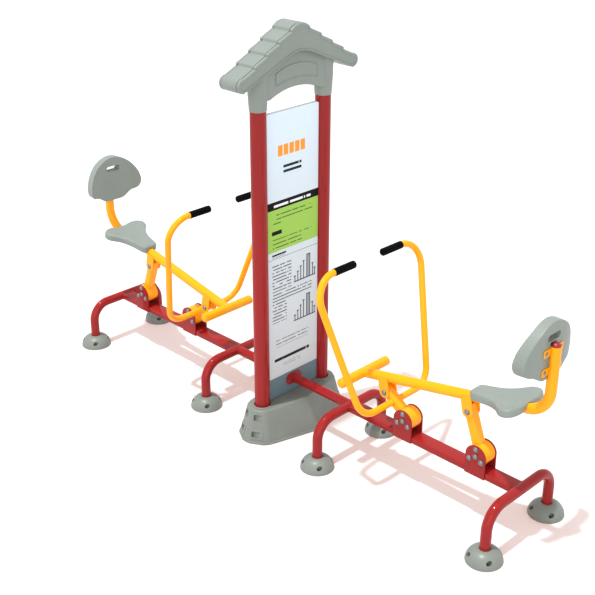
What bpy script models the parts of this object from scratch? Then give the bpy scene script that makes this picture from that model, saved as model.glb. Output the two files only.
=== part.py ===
"""Outdoor rowing machine: two rowing stations on one roofed centre frame.

+X runs along the beams, Z is up and the ground is z = 0 under the middle of the sign.
The right station lies towards +X; the left one is the same station turned half round.
Each station is a four-bar linkage: two levers swing on axles above the beam and carry the
seat tube between them, and the handlebar goes through the front lever.
"""
import math

import bmesh
import bpy
from mathutils import Matrix, Quaternion, Vector

# Fits that every piece shares
SEAT_GAP = 0.0003
JOIN_DEPTH = 0.0012
OVERRUN = 0.004
MERGE = 0.00001

# Facets of round pieces
POST_SIDES = 24
TUBE_RESOLUTION = 4
HANDLE_RESOLUTION = 3
BOLT_SIDES = 6
AXLE_SIDES = 10
ROUND_SIDES = 12
GRIP_SIDES = 14
FOOT_SIDES = 16
DRUM_SIDES = 20
BEND_STEPS = 4
SHARP_ANGLE = math.radians(35)
RIM_ANGLE = math.radians(50)
FACE_NORMAL_SHARE = 0.7

# Posts and sign of the centre frame
POST_RADIUS = 0.03805
POST_Y = 0.2078
POST_HEIGHT = 1.8
FLANGE_RADIUS = 0.085
FLANGE_THICKNESS = 0.010
ANCHOR_CIRCLE = 0.062
PANEL_THICKNESS = 0.020
PANEL_FOOT_GAP = 0.0045
PANEL_HEAD_GAP = 0.0253
PANEL_CORNER = 0.012

# Moulded skirt round the post feet
SKIRT_END_RADIUS = 0.118
SKIRT_TOP_RADIUS = 0.075
SKIRT_MIDDLE = 0.178
SKIRT_TOP_MIDDLE = 0.108
SKIRT_HEIGHT = 0.168
SKIRT_WALL = 0.010
SKIRT_LIP = 0.003
SKIRT_LIP_HEIGHT = 0.009
SKIRT_EDGE = 0.009
SKIRT_EDGE_SHARE = 0.33
SKIRT_FACET_LEAN = math.radians(30)
SKIRT_FACET_HALF_ANGLE = math.radians(18)
SKIRT_FLANK_ANGLE = math.radians(28)
SKIRT_RING_WIDTH = 0.008
SKIRT_RING_HEIGHT = 0.003
POCKET_WIDTH = 0.042
POCKET_HEIGHT = 0.030
POCKET_DEPTH = 0.007
POCKET_LEVEL_SHARES = (0.29, 0.78)

# Moulded roof, heights counted from the lower edge of its sockets
ROOF_SOCKET_DEPTH = 0.1335
ROOF_HALF_DEPTH = 0.065
ROOF_EDGE = 0.008
RIDGE_HEIGHT = 0.3675
RIDGE_HALF = 0.0574
RIDGE_DROP = 0.0195
COURSE_COUNT = 3
COURSE_RUN = 0.0725
COURSE_DROP = 0.0425
COURSE_LIP_RUN = 0.0035
COURSE_LIP_DROP = 0.012
EAVE_Y = 0.3455
EAVE_HEIGHT = 0.1455
EAVE_RADIUS = 0.034
EAVE_START_ANGLE = math.radians(75)
EAVE_END_ANGLE = math.radians(-100)
SOFFIT_KNEE_Y = 0.060
SOFFIT_KNEE_HEIGHT = 0.2335
SOFFIT_MIDDLE_HEIGHT = 0.2455
COLLAR_RADIUS = 0.0405
COLLAR_TOP_RADIUS = 0.0465
COLLAR_TAPER_HEIGHT = 0.100
COLLAR_HEIGHT = 0.200
GABLE_HALF_DEPTH = 0.036
GABLE_EDGE = 0.010
ARCH_SPRING_HEIGHT = 0.0445
ARCH_RISE = 0.036
PLAQUE_HALF = 0.130
PLAQUE_HEIGHT = 0.109
PLAQUE_LOW_RISE = 0.0185
PLAQUE_SIDE = 0.030
PLAQUE_HIGH_RISE = 0.075
PLAQUE_RELIEF = 0.003

# Fixed station frame of round legs and a flat beam
TUBE_RADIUS = 0.02415
INNER_LEG_X = 0.406
OUTER_LEG_X = 1.390
LEG_Y = 0.2323
LEG_BEND = 0.097
FRAME_Z = 0.2445
BEAM_WIDTH = 0.074
BEAM_HEIGHT = 0.030
BEAM_CORNER = 0.003
DRAIN_X = 0.700
DRAIN_RADIUS = 0.004
DRAIN_DEPTH = 0.012
COLLAR_PLATE_HALF = 0.052
COLLAR_PLATE_HEIGHT = 0.030
COLLAR_PLATE_THICKNESS = 0.008

# Domed feet with four bolt pockets each
FOOT_RADIUS = 0.0826
FOOT_HEIGHT = 0.062
FOOT_SOLE = 0.008
FOOT_DOME_SHARES = ((1.0, 0.0), (0.96, 0.33), (0.74, 0.77))
FOOT_POCKET_CIRCLE = 0.062
FOOT_POCKET_RADIUS = 0.0095
FOOT_POCKET_FLOOR = 0.013
HEX_RADIUS = 0.0075
HEX_HEIGHT = 0.006

# Brackets, axles and the drums that turn on them
FRONT_AXLE_X = 0.762
REAR_AXLE_X = 1.175
AXLE_Z = 0.328
BRACKET_RADIUS = 0.0535
BRACKET_THICKNESS = 0.0065
BRACKET_DROP = 0.001
BOLT_RADIUS = 0.006
BOLT_HEAD_RADIUS = 0.0115
BOLT_HEAD_HEIGHT = 0.008
BOLT_DOME_SHARES = (0.72, 0.72)
STOP_CIRCLE = 0.0366
STOP_ANGLES = (math.radians(90), math.radians(210), math.radians(330))
SLEEVE_RADIUS = 0.0145
DRUM_RADIUS = 0.0505
DRUM_SIDE_GAP = 0.0008
SLOT_STEPS = 2

# Linkage: the two link pins at rest and the swing that the slots allow
FRONT_PIN_X = 0.6364
FRONT_PIN_Z = 0.4216
REAR_PIN_X = 1.1055
REAR_PIN_Z = 0.5180
FRONT_SWING = math.radians(30)
REAR_SWING = math.radians(20)
OPEN_PIVOT_PLAY = 0.0022
LEVER_WIDTH = 0.048
LEVER_HEIGHT = 0.040
LEVER_CORNER = 0.004
LEVER_END = 0.030
LINK_WASHER_RADIUS = 0.013

# Handlebar and grips
HANDLE_RADIUS = 0.016
HANDLE_TOP_Z = 1.046
HANDLE_CROSSBAR_GAP = 0.0124
HANDLE_TOP_X = 0.4896
HANDLE_TOP_Y = 0.3632
HANDLE_LOW_Y = 0.232
HANDLE_TOP_BEND = 0.112
HANDLE_LOW_BEND = 0.105
GRIP_RADIUS = 0.0180
GRIP_START_Y = 0.226
GRIP_LENGTH = 0.133
GRIP_END_WALL = 0.004
GRIP_END_EDGE = 0.006

# Seat frame that the levers carry
RAIL_OFFSET = 0.0686
FOOTREST_X = 0.484
FOOTREST_HALF = 0.169
FOOTREST_END = 0.012
BACK_POST_X = 1.483
BACK_POST_TOP = 0.972
BACK_BEND = 0.12
PLUG_RADIUS = 0.0235
PLUG_HEIGHT = 0.020
PLUG_DOME_SHARES = ((1.0, 0.0), (0.96, 0.35), (0.75, 0.72))
EAR_THICKNESS = 0.005
EAR_HALF = 0.028

# Saddle on the seat tube
SADDLE_START = 0.510
SADDLE_LENGTH = 0.285
SADDLE_HALF = 0.133
SADDLE_NOSE_HEIGHT = 0.044
SADDLE_REAR_HEIGHT = 0.031
SADDLE_EDGE = 0.011
SADDLE_OUTLINE_SHARES = ((0.0, 0.22), (0.03, 0.315), (0.075, 0.36), (0.20, 0.402), (0.31, 0.444),
                         (0.453, 0.534), (0.593, 0.692), (0.69, 0.88), (0.745, 0.962), (0.815, 1.0),
                         (0.89, 0.97), (0.95, 0.857), (0.985, 0.69), (1.0, 0.45), (0.98, 0.2))

# Backrest on the post
BACK_FRONT_X = 1.424
BACK_REAR_X = 1.471
BACK_FRONT_SAG = 0.029
BACK_REAR_SAG = 0.021
BACK_BOTTOM_Z = 0.826
BACK_HEIGHT = 0.252
BACK_HALF = 0.171
BACK_REAR_SHARE = 0.96
BACK_EDGE = 0.008
BACK_OUTLINE_SHARES = ((0.30, 0.0), (0.46, 0.045), (0.64, 0.125), (0.85, 0.165), (0.96, 0.235),
                       (1.0, 0.35), (0.97, 0.48), (0.89, 0.61), (0.74, 0.75), (0.55, 0.865), (0.29, 0.96))
HAND_SLOT_HALF = 0.045
HAND_SLOT_HEIGHT = 0.030
HAND_SLOT_SHARE = 0.732

# Tabs and bolts that hold the saddle and the backrest
TAB_THICKNESS = 0.004
TAB_WIDTH = 0.032
TAB_START_SHARE = 0.7
BACK_TAB_REACH = 0.066
BACK_TAB_BOLT_Y = 0.050
BACK_TAB_LEVEL_SHARES = (0.169, 0.515)
SADDLE_TAB_REACH = 0.058
SADDLE_TAB_BOLT_Y = 0.043
SADDLE_TAB_SHARE = 0.66
PAD_BOLT_RADIUS = 0.004
PAD_BOLT_HEAD_RADIUS = 0.009
PAD_BOLT_HEAD_HEIGHT = 0.0055
PAD_BOLT_DEPTH = 0.012

# Colours of the finishes
RED_PAINT = (0.50, 0.035, 0.035, 1.0)
YELLOW_PAINT = (1.0, 0.56, 0.02, 1.0)
GREY_PLASTIC = (0.29, 0.35, 0.32, 1.0)
BLACK_RUBBER = (0.008, 0.008, 0.008, 1.0)
PALE_PANEL = (0.78, 0.84, 0.88, 1.0)
STEEL = (0.42, 0.44, 0.46, 1.0)


def clear_scene():
    """Remove every object, so that the script always starts empty."""
    for item in list(bpy.data.objects):
        bpy.data.objects.remove(item, do_unlink=True)


def finish_material(name, colour, roughness, metallic):
    """Principled material of one finish."""
    material = bpy.data.materials.new(name)
    material.use_nodes = True
    shader = material.node_tree.nodes["Principled BSDF"]
    shader.inputs["Base Color"].default_value = colour
    shader.inputs["Roughness"].default_value = roughness
    shader.inputs["Metallic"].default_value = metallic
    material.diffuse_color = colour
    return material


def finished(work):
    """Mesh from a bmesh, with its faces turned outwards."""
    bmesh.ops.recalc_face_normals(work, faces=work.faces)
    mesh = bpy.data.meshes.new("shape")
    work.to_mesh(mesh)
    work.free()
    return mesh


def on_axis(axis, along, first, second):
    """Point whose coordinate on the named axis is along; the others follow in X, Y, Z order."""
    if axis == "X":
        return (along, first, second)
    if axis == "Y":
        return (first, along, second)
    return (first, second, along)


def extruded(loops, low, high, axis):
    """Flat outline, with any hole loops after it, pushed from low to high along an axis."""
    work = bmesh.new()
    edges = []
    for loop in loops:
        corners = [work.verts.new(on_axis(axis, low, first, second)) for first, second in loop]
        edges += [work.edges.new((corners[index - 1], corners[index])) for index in range(len(corners))]
    if len(loops) == 1:
        work.faces.new(corners)
    else:
        bmesh.ops.triangle_fill(work, use_beauty=True, edges=edges)
    pushed = bmesh.ops.extrude_face_region(work, geom=work.faces[:])
    corners = [item for item in pushed["geom"] if isinstance(item, bmesh.types.BMVert)]
    bmesh.ops.translate(work, verts=corners, vec=on_axis(axis, high - low, 0, 0))
    return finished(work)


def turned(profile, sides, axis):
    """Profile of (radius, height) pairs spun once round an axis."""
    work = bmesh.new()
    corners = [work.verts.new((radius, 0, height)) for radius, height in profile]
    edges = [work.edges.new(pair) for pair in zip(corners, corners[1:])]
    bmesh.ops.spin(work, geom=corners + edges, cent=(0, 0, 0), axis=(0, 0, 1), angle=math.tau, steps=sides)
    bmesh.ops.remove_doubles(work, verts=work.verts, dist=MERGE)
    mesh = finished(work)
    if axis == "X":
        mesh.transform(Matrix.Rotation(math.pi / 2, 4, "Y"))
    if axis == "Y":
        mesh.transform(Matrix.Rotation(-math.pi / 2, 4, "X"))
    return mesh


def cylinder(radius, low, high, sides, axis):
    """Round bar between two heights on an axis."""
    return turned(((0, low), (radius, low), (radius, high), (0, high)), sides, axis)


def moved(mesh, x, y, z):
    """The same mesh shifted by a distance."""
    mesh.transform(Matrix.Translation((x, y, z)))
    return mesh


def combined(base, other, operation):
    """Exact Boolean of two meshes."""
    holder = bpy.data.objects.new("base", base)
    tool = bpy.data.objects.new("tool", other)
    for item in (holder, tool):
        bpy.context.scene.collection.objects.link(item)
    step = holder.modifiers.new("step", "BOOLEAN")
    step.operation = operation
    step.solver = "EXACT"
    step.object = tool
    result = bpy.data.meshes.new_from_object(holder.evaluated_get(bpy.context.evaluated_depsgraph_get()))
    for item in (holder, tool):
        bpy.data.objects.remove(item)
    work = bmesh.new()
    work.from_mesh(result)
    bmesh.ops.remove_doubles(work, verts=work.verts, dist=MERGE)
    return finished(work)


def cut(base, cutters):
    """The base with each cutter taken out of it."""
    for cutter in cutters:
        base = combined(base, cutter, "DIFFERENCE")
    return base


def united(meshes):
    """Overlapping shapes, as welded together, joined into one body."""
    body = meshes[0]
    for mesh in meshes[1:]:
        body = combined(body, mesh, "UNION")
    return body


def edges_bevelled(mesh, width, segments, choose):
    """The mesh with the edges that the rule chooses rounded off."""
    work = bmesh.new()
    work.from_mesh(mesh)
    picked = [edge for edge in work.edges if choose(edge)]
    bmesh.ops.bevel(work, geom=picked, offset=width, segments=segments, profile=0.5,
                    affect="EDGES", clamp_overlap=True)
    return finished(work)


def round_hole(radius, sides):
    """Corner radius of a faceted hole that clears a round bar by the seating gap."""
    return (radius + SEAT_GAP) / math.cos(math.pi / sides)


def ring_points(radius, sides, first=0.0, second=0.0):
    """Corners of a regular outline about a centre."""
    turns = [math.tau * index / sides for index in range(sides)]
    return [(first + radius * math.cos(turn), second + radius * math.sin(turn)) for turn in turns]


def arc_points(radius, start, end, steps, first=0.0, second=0.0):
    """Corners along an arc from one angle to another."""
    turns = [start + (end - start) * index / steps for index in range(steps + 1)]
    return [(first + radius * math.cos(turn), second + radius * math.sin(turn)) for turn in turns]


def bowed_points(half, height, rise, steps):
    """Points of a shallow arch from -half to +half."""
    radius = (half * half + rise * rise) / (2 * rise)
    reach = math.asin(half / radius)
    turns = [reach * (2 * index / steps - 1) for index in range(steps + 1)]
    return [(radius * math.sin(turn), height + rise + radius * (math.cos(turn) - 1)) for turn in turns]


def rounded_box_points(half_first, half_second, corner):
    """Corners of a rectangle with rounded corners."""
    points = []
    for quarter, (sign_first, sign_second) in enumerate(((1, 1), (-1, 1), (-1, -1), (1, -1))):
        points += arc_points(corner, math.pi / 2 * quarter, math.pi / 2 * (quarter + 1), 2,
                             sign_first * (half_first - corner), sign_second * (half_second - corner))
    return points


def bent_path(corners, bends, steps):
    """Straight runs between corners, with an arc of the given radius at each inner corner."""
    path = [corners[0]]
    for before, corner, after, bend in zip(corners, corners[1:], corners[2:], bends):
        back = (before - corner).normalized()
        ahead = (after - corner).normalized()
        half = back.angle(ahead) / 2
        centre = corner + (back + ahead).normalized() * (bend / math.sin(half))
        first = corner + back * (bend / math.tan(half)) - centre
        last = corner + ahead * (bend / math.tan(half)) - centre
        turn = first.angle(last)
        hinge = first.cross(last).normalized()
        path += [centre + Quaternion(hinge, turn * index / steps) @ first for index in range(steps + 1)]
    path.append(corners[-1])
    return path


def tube(path, radius, resolution):
    """Round bar along a path, made as a bevelled curve with filled ends."""
    curve = bpy.data.curves.new("tube", "CURVE")
    curve.dimensions = "3D"
    curve.bevel_depth = radius
    curve.bevel_resolution = resolution
    curve.use_fill_caps = True
    spline = curve.splines.new("POLY")
    spline.points.add(len(path) - 1)
    for point, place in zip(spline.points, path):
        point.co = (place.x, place.y, place.z, 1.0)
    holder = bpy.data.objects.new("tube", curve)
    bpy.context.scene.collection.objects.link(holder)
    mesh = bpy.data.meshes.new_from_object(holder.evaluated_get(bpy.context.evaluated_depsgraph_get()))
    bpy.data.objects.remove(holder)
    work = bmesh.new()
    work.from_mesh(mesh)
    bmesh.ops.remove_doubles(work, verts=work.verts, dist=MERGE)
    return finished(work)


def domed_bolt(shank, head, height, half_grip, sides, middle=()):
    """Through bolt along Y with a domed head at one end and a domed nut at the other."""
    shoulder_share, rise_share = BOLT_DOME_SHARES
    upper = middle + ((shank, half_grip), (head, half_grip),
                      (head * shoulder_share, half_grip + height * rise_share), (0, half_grip + height))
    lower = tuple((radius, -place) for radius, place in reversed(upper))
    return turned(lower + upper, sides, "Y")


def hex_head(x, y, z):
    """Hexagon bolt head that stands on a floor and is joined to it."""
    return extruded([ring_points(HEX_RADIUS, 6, x, y)], z - JOIN_DEPTH, z + HEX_HEIGHT, "Z")


def empty_at(name, place, parent=None):
    """Empty that marks a station or a joint's axis."""
    marker = bpy.data.objects.new(name, None)
    bpy.context.scene.collection.objects.link(marker)
    marker.location = place
    marker.parent = parent
    return marker


def add_piece(name, mesh, material, parent=None):
    """Named object with its own mesh, finish and carrier."""
    mesh.materials.clear()
    mesh.materials.append(material)
    mesh.shade_smooth()
    mesh.set_sharp_from_angle(angle=SHARP_ANGLE)
    piece = bpy.data.objects.new(name, mesh)
    bpy.context.scene.collection.objects.link(piece)
    piece.parent = parent
    return piece


def post_mesh():
    """Upright tube welded on a round flange with four anchor bolt heads, up into the roof socket."""
    flange = cylinder(FLANGE_RADIUS, 0, FLANGE_THICKNESS, ROUND_SIDES, "Z")
    upright = cylinder(POST_RADIUS, FLANGE_THICKNESS - JOIN_DEPTH, POST_HEIGHT, POST_SIDES, "Z")
    corners = arc_points(ANCHOR_CIRCLE, math.pi / 4, math.pi * 7 / 4, 3)
    return united([flange, upright] + [hex_head(x, y, FLANGE_THICKNESS) for x, y in corners])


def panel_mesh():
    """Box panel between the posts, from just above the skirt to just below the roof, with a hole for the pipe."""
    bottom = SKIRT_HEIGHT + PANEL_FOOT_GAP
    top = POST_HEIGHT - ROOF_SOCKET_DEPTH - PANEL_HEAD_GAP
    middle = (top + bottom) / 2
    half_width = POST_Y - POST_RADIUS - SEAT_GAP
    outline = rounded_box_points(half_width, (top - bottom) / 2, PANEL_CORNER)
    hole = ring_points(round_hole(TUBE_RADIUS, ROUND_SIDES), ROUND_SIDES, 0, FRAME_Z - middle)
    mesh = extruded([outline, hole], -PANEL_THICKNESS / 2, PANEL_THICKNESS / 2, "X")
    return moved(mesh, 0, 0, middle)


def pipe_collars():
    """Round-ended plate on each face of the panel, where the centre pipe comes out."""
    reach = COLLAR_PLATE_HALF - COLLAR_PLATE_HEIGHT
    outline = arc_points(COLLAR_PLATE_HEIGHT, -math.pi / 2, math.pi / 2, 4, reach, FRAME_Z)
    outline += arc_points(COLLAR_PLATE_HEIGHT, math.pi / 2, math.pi * 3 / 2, 4, -reach, FRAME_Z)
    near = PANEL_THICKNESS / 2 + SEAT_GAP
    far = near + COLLAR_PLATE_THICKNESS
    return [extruded([outline], near, far, "X"), extruded([outline], -far, -near, "X")]


def centre_pipe_mesh():
    """Round pipe through the panel with its two collars, coped to the inner legs of both stations."""
    pipe = tube([Vector((-INNER_LEG_X, 0, FRAME_Z)), Vector((INNER_LEG_X, 0, FRAME_Z))],
                TUBE_RADIUS, TUBE_RESOLUTION)
    return cut(united([pipe] + pipe_collars()), [leg_cutter(INNER_LEG_X), leg_cutter(-INNER_LEG_X)])


def leg_cutter(x):
    """Round cutter along the level run of a leg."""
    return tube([Vector((x, -BEAM_WIDTH, FRAME_Z)), Vector((x, BEAM_WIDTH, FRAME_Z))],
                TUBE_RADIUS + SEAT_GAP, TUBE_RESOLUTION)


def skirt_outline(end_radius, middle):
    """Plan outline of the skirt: flattened round ends drawn to a point on each long side."""
    to_middle = Vector((middle, POST_Y))
    lean = math.acos(end_radius / to_middle.length)
    tangent = math.atan2(to_middle.y, to_middle.x) - lean
    facet = SKIRT_FACET_LEAN - math.pi / 2
    turns = [facet - SKIRT_FACET_HALF_ANGLE, facet + SKIRT_FACET_HALF_ANGLE, -SKIRT_FLANK_ANGLE, tangent]
    right_near = [(end_radius * math.cos(turn), end_radius * math.sin(turn) - POST_Y) for turn in turns]
    right_far = [(x, -y) for x, y in reversed(right_near)]
    right = right_near + [(middle, 0)] + right_far + [(0, POST_Y + end_radius)]
    left = [(-x, -y) for x, y in right]
    return right + left


def lofted(sections):
    """Closed shape through level sections given as (outline, height), capped at both ends."""
    work = bmesh.new()
    rings = [[work.verts.new((x, y, height)) for x, y in outline] for outline, height in sections]
    count = len(rings[0])
    for lower, upper in zip(rings, rings[1:]):
        for index in range(count):
            work.faces.new((lower[index - 1], lower[index], upper[index], upper[index - 1]))
    work.faces.new(rings[0])
    work.faces.new(rings[-1])
    bmesh.ops.triangulate(work, faces=work.faces)
    return finished(work)


def skirt_mesh():
    """Tapered shell round both post feet, open below, with stacked pockets in its end facets."""
    lip = (SKIRT_END_RADIUS + SKIRT_LIP, SKIRT_MIDDLE + SKIRT_LIP)
    taper = (SKIRT_END_RADIUS - SKIRT_TOP_RADIUS) / SKIRT_HEIGHT
    middle_taper = (SKIRT_MIDDLE - SKIRT_TOP_MIDDLE) / SKIRT_HEIGHT

    def section(height, inset):
        return skirt_outline(SKIRT_END_RADIUS - taper * height - inset, SKIRT_MIDDLE - middle_taper * height - inset)

    shell = lofted([(skirt_outline(*lip), 0), (skirt_outline(*lip), SKIRT_LIP_HEIGHT),
                    (section(SKIRT_LIP_HEIGHT, 0), SKIRT_LIP_HEIGHT + SKIRT_LIP),
                    (section(SKIRT_HEIGHT - SKIRT_EDGE, 0), SKIRT_HEIGHT - SKIRT_EDGE),
                    (section(SKIRT_HEIGHT, SKIRT_EDGE * SKIRT_EDGE_SHARE),
                     SKIRT_HEIGHT - SKIRT_EDGE * SKIRT_EDGE_SHARE),
                    (section(SKIRT_HEIGHT, SKIRT_EDGE), SKIRT_HEIGHT)])
    inside = lofted([(section(0, SKIRT_WALL), -OVERRUN),
                     (section(SKIRT_HEIGHT - SKIRT_WALL, SKIRT_WALL), SKIRT_HEIGHT - SKIRT_WALL)])
    for side in (-1, 1):
        ring = cylinder(POST_RADIUS + SKIRT_RING_WIDTH, SKIRT_HEIGHT - SKIRT_EDGE,
                        SKIRT_HEIGHT + SKIRT_RING_HEIGHT, ROUND_SIDES, "Z")
        shell = combined(shell, moved(ring, 0, side * POST_Y, 0), "UNION")
    hole_radius = round_hole(POST_RADIUS, POST_SIDES)
    holes = [moved(cylinder(hole_radius, 0, SKIRT_HEIGHT + SKIRT_EDGE, POST_SIDES, "Z"), 0, side * POST_Y, 0)
             for side in (-1, 1)]
    return cut(shell, [inside] + holes + skirt_pockets(taper))


def skirt_pockets(taper):
    """Box cutters for the two pockets in each of the four end facets."""
    cutters = []
    outline = [(-POCKET_WIDTH / 2, -POCKET_HEIGHT / 2), (POCKET_WIDTH / 2, -POCKET_HEIGHT / 2),
               (POCKET_WIDTH / 2, POCKET_HEIGHT / 2), (-POCKET_WIDTH / 2, POCKET_HEIGHT / 2)]
    for share in POCKET_LEVEL_SHARES:
        height = SKIRT_HEIGHT * share
        face = (SKIRT_END_RADIUS - taper * height) * math.cos(SKIRT_FACET_HALF_ANGLE)
        for side in (-1, 1):
            for lean in (-SKIRT_FACET_LEAN, SKIRT_FACET_LEAN):
                block = extruded([outline], -POCKET_DEPTH, OVERRUN, "X")
                block.transform(Matrix.Rotation(-math.atan(taper), 4, "Y"))
                block = moved(block, face, 0, height)
                block.transform(Matrix.Rotation(math.pi / 2 * side + lean, 4, "Z"))
                cutters.append(moved(block, 0, side * POST_Y, 0))
    return cutters


def roof_slab_outline():
    """Gable outline: rounded ridge, stepped courses, round eaves and a sloping soffit."""
    bow = bowed_points(RIDGE_HALF, RIDGE_HEIGHT - RIDGE_DROP, RIDGE_DROP, 6)
    right = [point for point in bow if point[0] > 0]
    for course in range(COURSE_COUNT):
        inner_y = RIDGE_HALF + course * COURSE_RUN
        inner_z = RIDGE_HEIGHT - RIDGE_DROP - course * COURSE_DROP
        right.append((inner_y + COURSE_LIP_RUN, inner_z - COURSE_LIP_DROP))
        right.append((inner_y + COURSE_RUN, inner_z - COURSE_DROP))
    right.append((inner_y + COURSE_RUN + COURSE_LIP_RUN, inner_z - COURSE_DROP - COURSE_LIP_DROP))
    right += arc_points(EAVE_RADIUS, EAVE_START_ANGLE, EAVE_END_ANGLE, 6, EAVE_Y, EAVE_HEIGHT)
    right.append((SOFFIT_KNEE_Y, SOFFIT_KNEE_HEIGHT))
    left = [(-y, z) for y, z in reversed(right)]
    return [(0, RIDGE_HEIGHT)] + right + [(0, SOFFIT_MIDDLE_HEIGHT)] + left


def gable_outline():
    """Wall between the collars: arched below, running up into the slab above."""
    half = POST_Y - COLLAR_TOP_RADIUS
    arch = bowed_points(half, ARCH_SPRING_HEIGHT, ARCH_RISE, 6)
    middle = (SOFFIT_MIDDLE_HEIGHT + RIDGE_HEIGHT) / 2
    slope = COURSE_DROP / COURSE_RUN
    side = middle - slope * POST_Y
    return arch + [(POST_Y, ARCH_SPRING_HEIGHT), (POST_Y, side), (0, middle),
                   (-POST_Y, side), (-POST_Y, ARCH_SPRING_HEIGHT)]


def plaque_outline():
    """Bare raised plaque on the gable wall, bowed below and above."""
    low = bowed_points(PLAQUE_HALF, PLAQUE_HEIGHT, PLAQUE_LOW_RISE, 6)
    high = bowed_points(PLAQUE_HALF, PLAQUE_HEIGHT + PLAQUE_SIDE, PLAQUE_HIGH_RISE, 6)
    return low + list(reversed(high))


def roof_mesh():
    """Roof slab, gable wall, plaque and collars joined, with a blind socket for each post."""
    slab = extruded([roof_slab_outline()], -ROOF_HALF_DEPTH, ROOF_HALF_DEPTH, "X")
    slab = edges_bevelled(slab, ROOF_EDGE, 1, lambda edge: abs(edge.verts[0].co.x - edge.verts[1].co.x) < MERGE)
    gable = extruded([gable_outline()], -GABLE_HALF_DEPTH, GABLE_HALF_DEPTH, "X")
    arch_top = ARCH_SPRING_HEIGHT + ARCH_RISE

    def on_arch(edge):
        level = abs(edge.verts[0].co.x - edge.verts[1].co.x) < MERGE
        ends = [corner.co for corner in edge.verts]
        return level and all(abs(end.y) < POST_Y and end.z <= arch_top + MERGE for end in ends)

    gable = edges_bevelled(gable, GABLE_EDGE, 1, on_arch)
    relief = GABLE_HALF_DEPTH + PLAQUE_RELIEF
    body = combined(slab, gable, "UNION")
    body = combined(body, extruded([plaque_outline()], -relief, relief, "X"), "UNION")
    for side in (-1, 1):
        collar = turned(((0, 0), (COLLAR_RADIUS, 0), (COLLAR_TOP_RADIUS, COLLAR_TAPER_HEIGHT),
                         (COLLAR_TOP_RADIUS, COLLAR_HEIGHT), (0, COLLAR_HEIGHT)), DRUM_SIDES, "Z")
        body = combined(body, moved(collar, 0, side * POST_Y, 0), "UNION")
    socket_radius = round_hole(POST_RADIUS, POST_SIDES)
    sockets = [moved(cylinder(socket_radius, -OVERRUN, ROOF_SOCKET_DEPTH + SEAT_GAP, POST_SIDES, "Z"),
                     0, side * POST_Y, 0) for side in (-1, 1)]
    return moved(cut(body, sockets), 0, 0, POST_HEIGHT - ROOF_SOCKET_DEPTH)


def leg_mesh(x):
    """One bent tube that stands on two feet and carries an end of the beam."""
    corners = [Vector((x, -LEG_Y, FOOT_SOLE + SEAT_GAP)), Vector((x, -LEG_Y, FRAME_Z)),
               Vector((x, LEG_Y, FRAME_Z)), Vector((x, LEG_Y, FOOT_SOLE + SEAT_GAP))]
    return tube(bent_path(corners, (LEG_BEND, LEG_BEND), BEND_STEPS), TUBE_RADIUS, TUBE_RESOLUTION)


def beam_mesh():
    """Flat beam with two bracket plates welded on each side, coped to both legs, with a drain hole."""
    mesh = extruded([rounded_box_points(BEAM_WIDTH / 2, BEAM_HEIGHT / 2, BEAM_CORNER)],
                    INNER_LEG_X, OUTER_LEG_X, "X")
    mesh = moved(mesh, 0, 0, FRAME_Z)
    top = FRAME_Z + BEAM_HEIGHT / 2
    drain = moved(cylinder(DRAIN_RADIUS, top - DRAIN_DEPTH, top + OVERRUN, BOLT_SIDES, "Z"), DRAIN_X, 0, 0)
    mesh = cut(mesh, [leg_cutter(INNER_LEG_X), leg_cutter(OUTER_LEG_X), drain])
    return united([mesh] + bracket_plates(FRONT_AXLE_X) + bracket_plates(REAR_AXLE_X))


def foot_mesh(x, side):
    """Moulded dome with a blind bore for the leg and a hexagon bolt head in each of four pockets."""
    bore = round_hole(TUBE_RADIUS, FOOT_SIDES)
    dome = tuple((FOOT_RADIUS * wide, FOOT_HEIGHT * high) for wide, high in FOOT_DOME_SHARES)
    profile = ((0, 0),) + dome + ((bore, FOOT_HEIGHT), (bore, FOOT_SOLE), (0, FOOT_SOLE))
    places = arc_points(FOOT_POCKET_CIRCLE, math.pi / 4, math.pi * 7 / 4, 3)
    pockets = [moved(cylinder(FOOT_POCKET_RADIUS, FOOT_POCKET_FLOOR, FOOT_HEIGHT, BOLT_SIDES, "Z"), along, across, 0)
               for along, across in places]
    dome = cut(turned(profile, FOOT_SIDES, "Z"), pockets)
    foot = united([dome] + [hex_head(along, across, FOOT_POCKET_FLOOR) for along, across in places])
    return moved(foot, x, side * LEG_Y, 0)


def plate_inner():
    """Distance of a bracket plate's inner face from the middle of the beam."""
    return BEAM_WIDTH / 2 - JOIN_DEPTH


def stop_places():
    """Places of the three stop bolts about an axle."""
    return [(STOP_CIRCLE * math.cos(turn), STOP_CIRCLE * math.sin(turn)) for turn in STOP_ANGLES]


def bracket_plates(axle_x):
    """Pair of round-topped plates on the sides of the beam, drilled for the axle and stop bolts."""
    bottom = FRAME_Z - BEAM_HEIGHT / 2 - BRACKET_DROP
    outline = [(axle_x + BRACKET_RADIUS, bottom)]
    outline += arc_points(BRACKET_RADIUS, 0, math.pi, 8, axle_x, AXLE_Z)
    outline.append((axle_x - BRACKET_RADIUS, bottom))
    hole = round_hole(BOLT_RADIUS, BOLT_SIDES)
    holes = [ring_points(hole, BOLT_SIDES, axle_x, AXLE_Z)]
    holes += [ring_points(hole, BOLT_SIDES, axle_x + along, AXLE_Z + up) for along, up in stop_places()]
    near = plate_inner()
    far = near + BRACKET_THICKNESS
    return [extruded([outline] + holes, near, far, "Y"), extruded([outline] + holes, -far, -near, "Y")]


def stop_bolt_mesh():
    """Bolt through both bracket plates that runs in a slot of the drum."""
    return domed_bolt(BOLT_RADIUS, BOLT_HEAD_RADIUS, BOLT_HEAD_HEIGHT,
                      plate_inner() + BRACKET_THICKNESS + SEAT_GAP, BOLT_SIDES)


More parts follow.
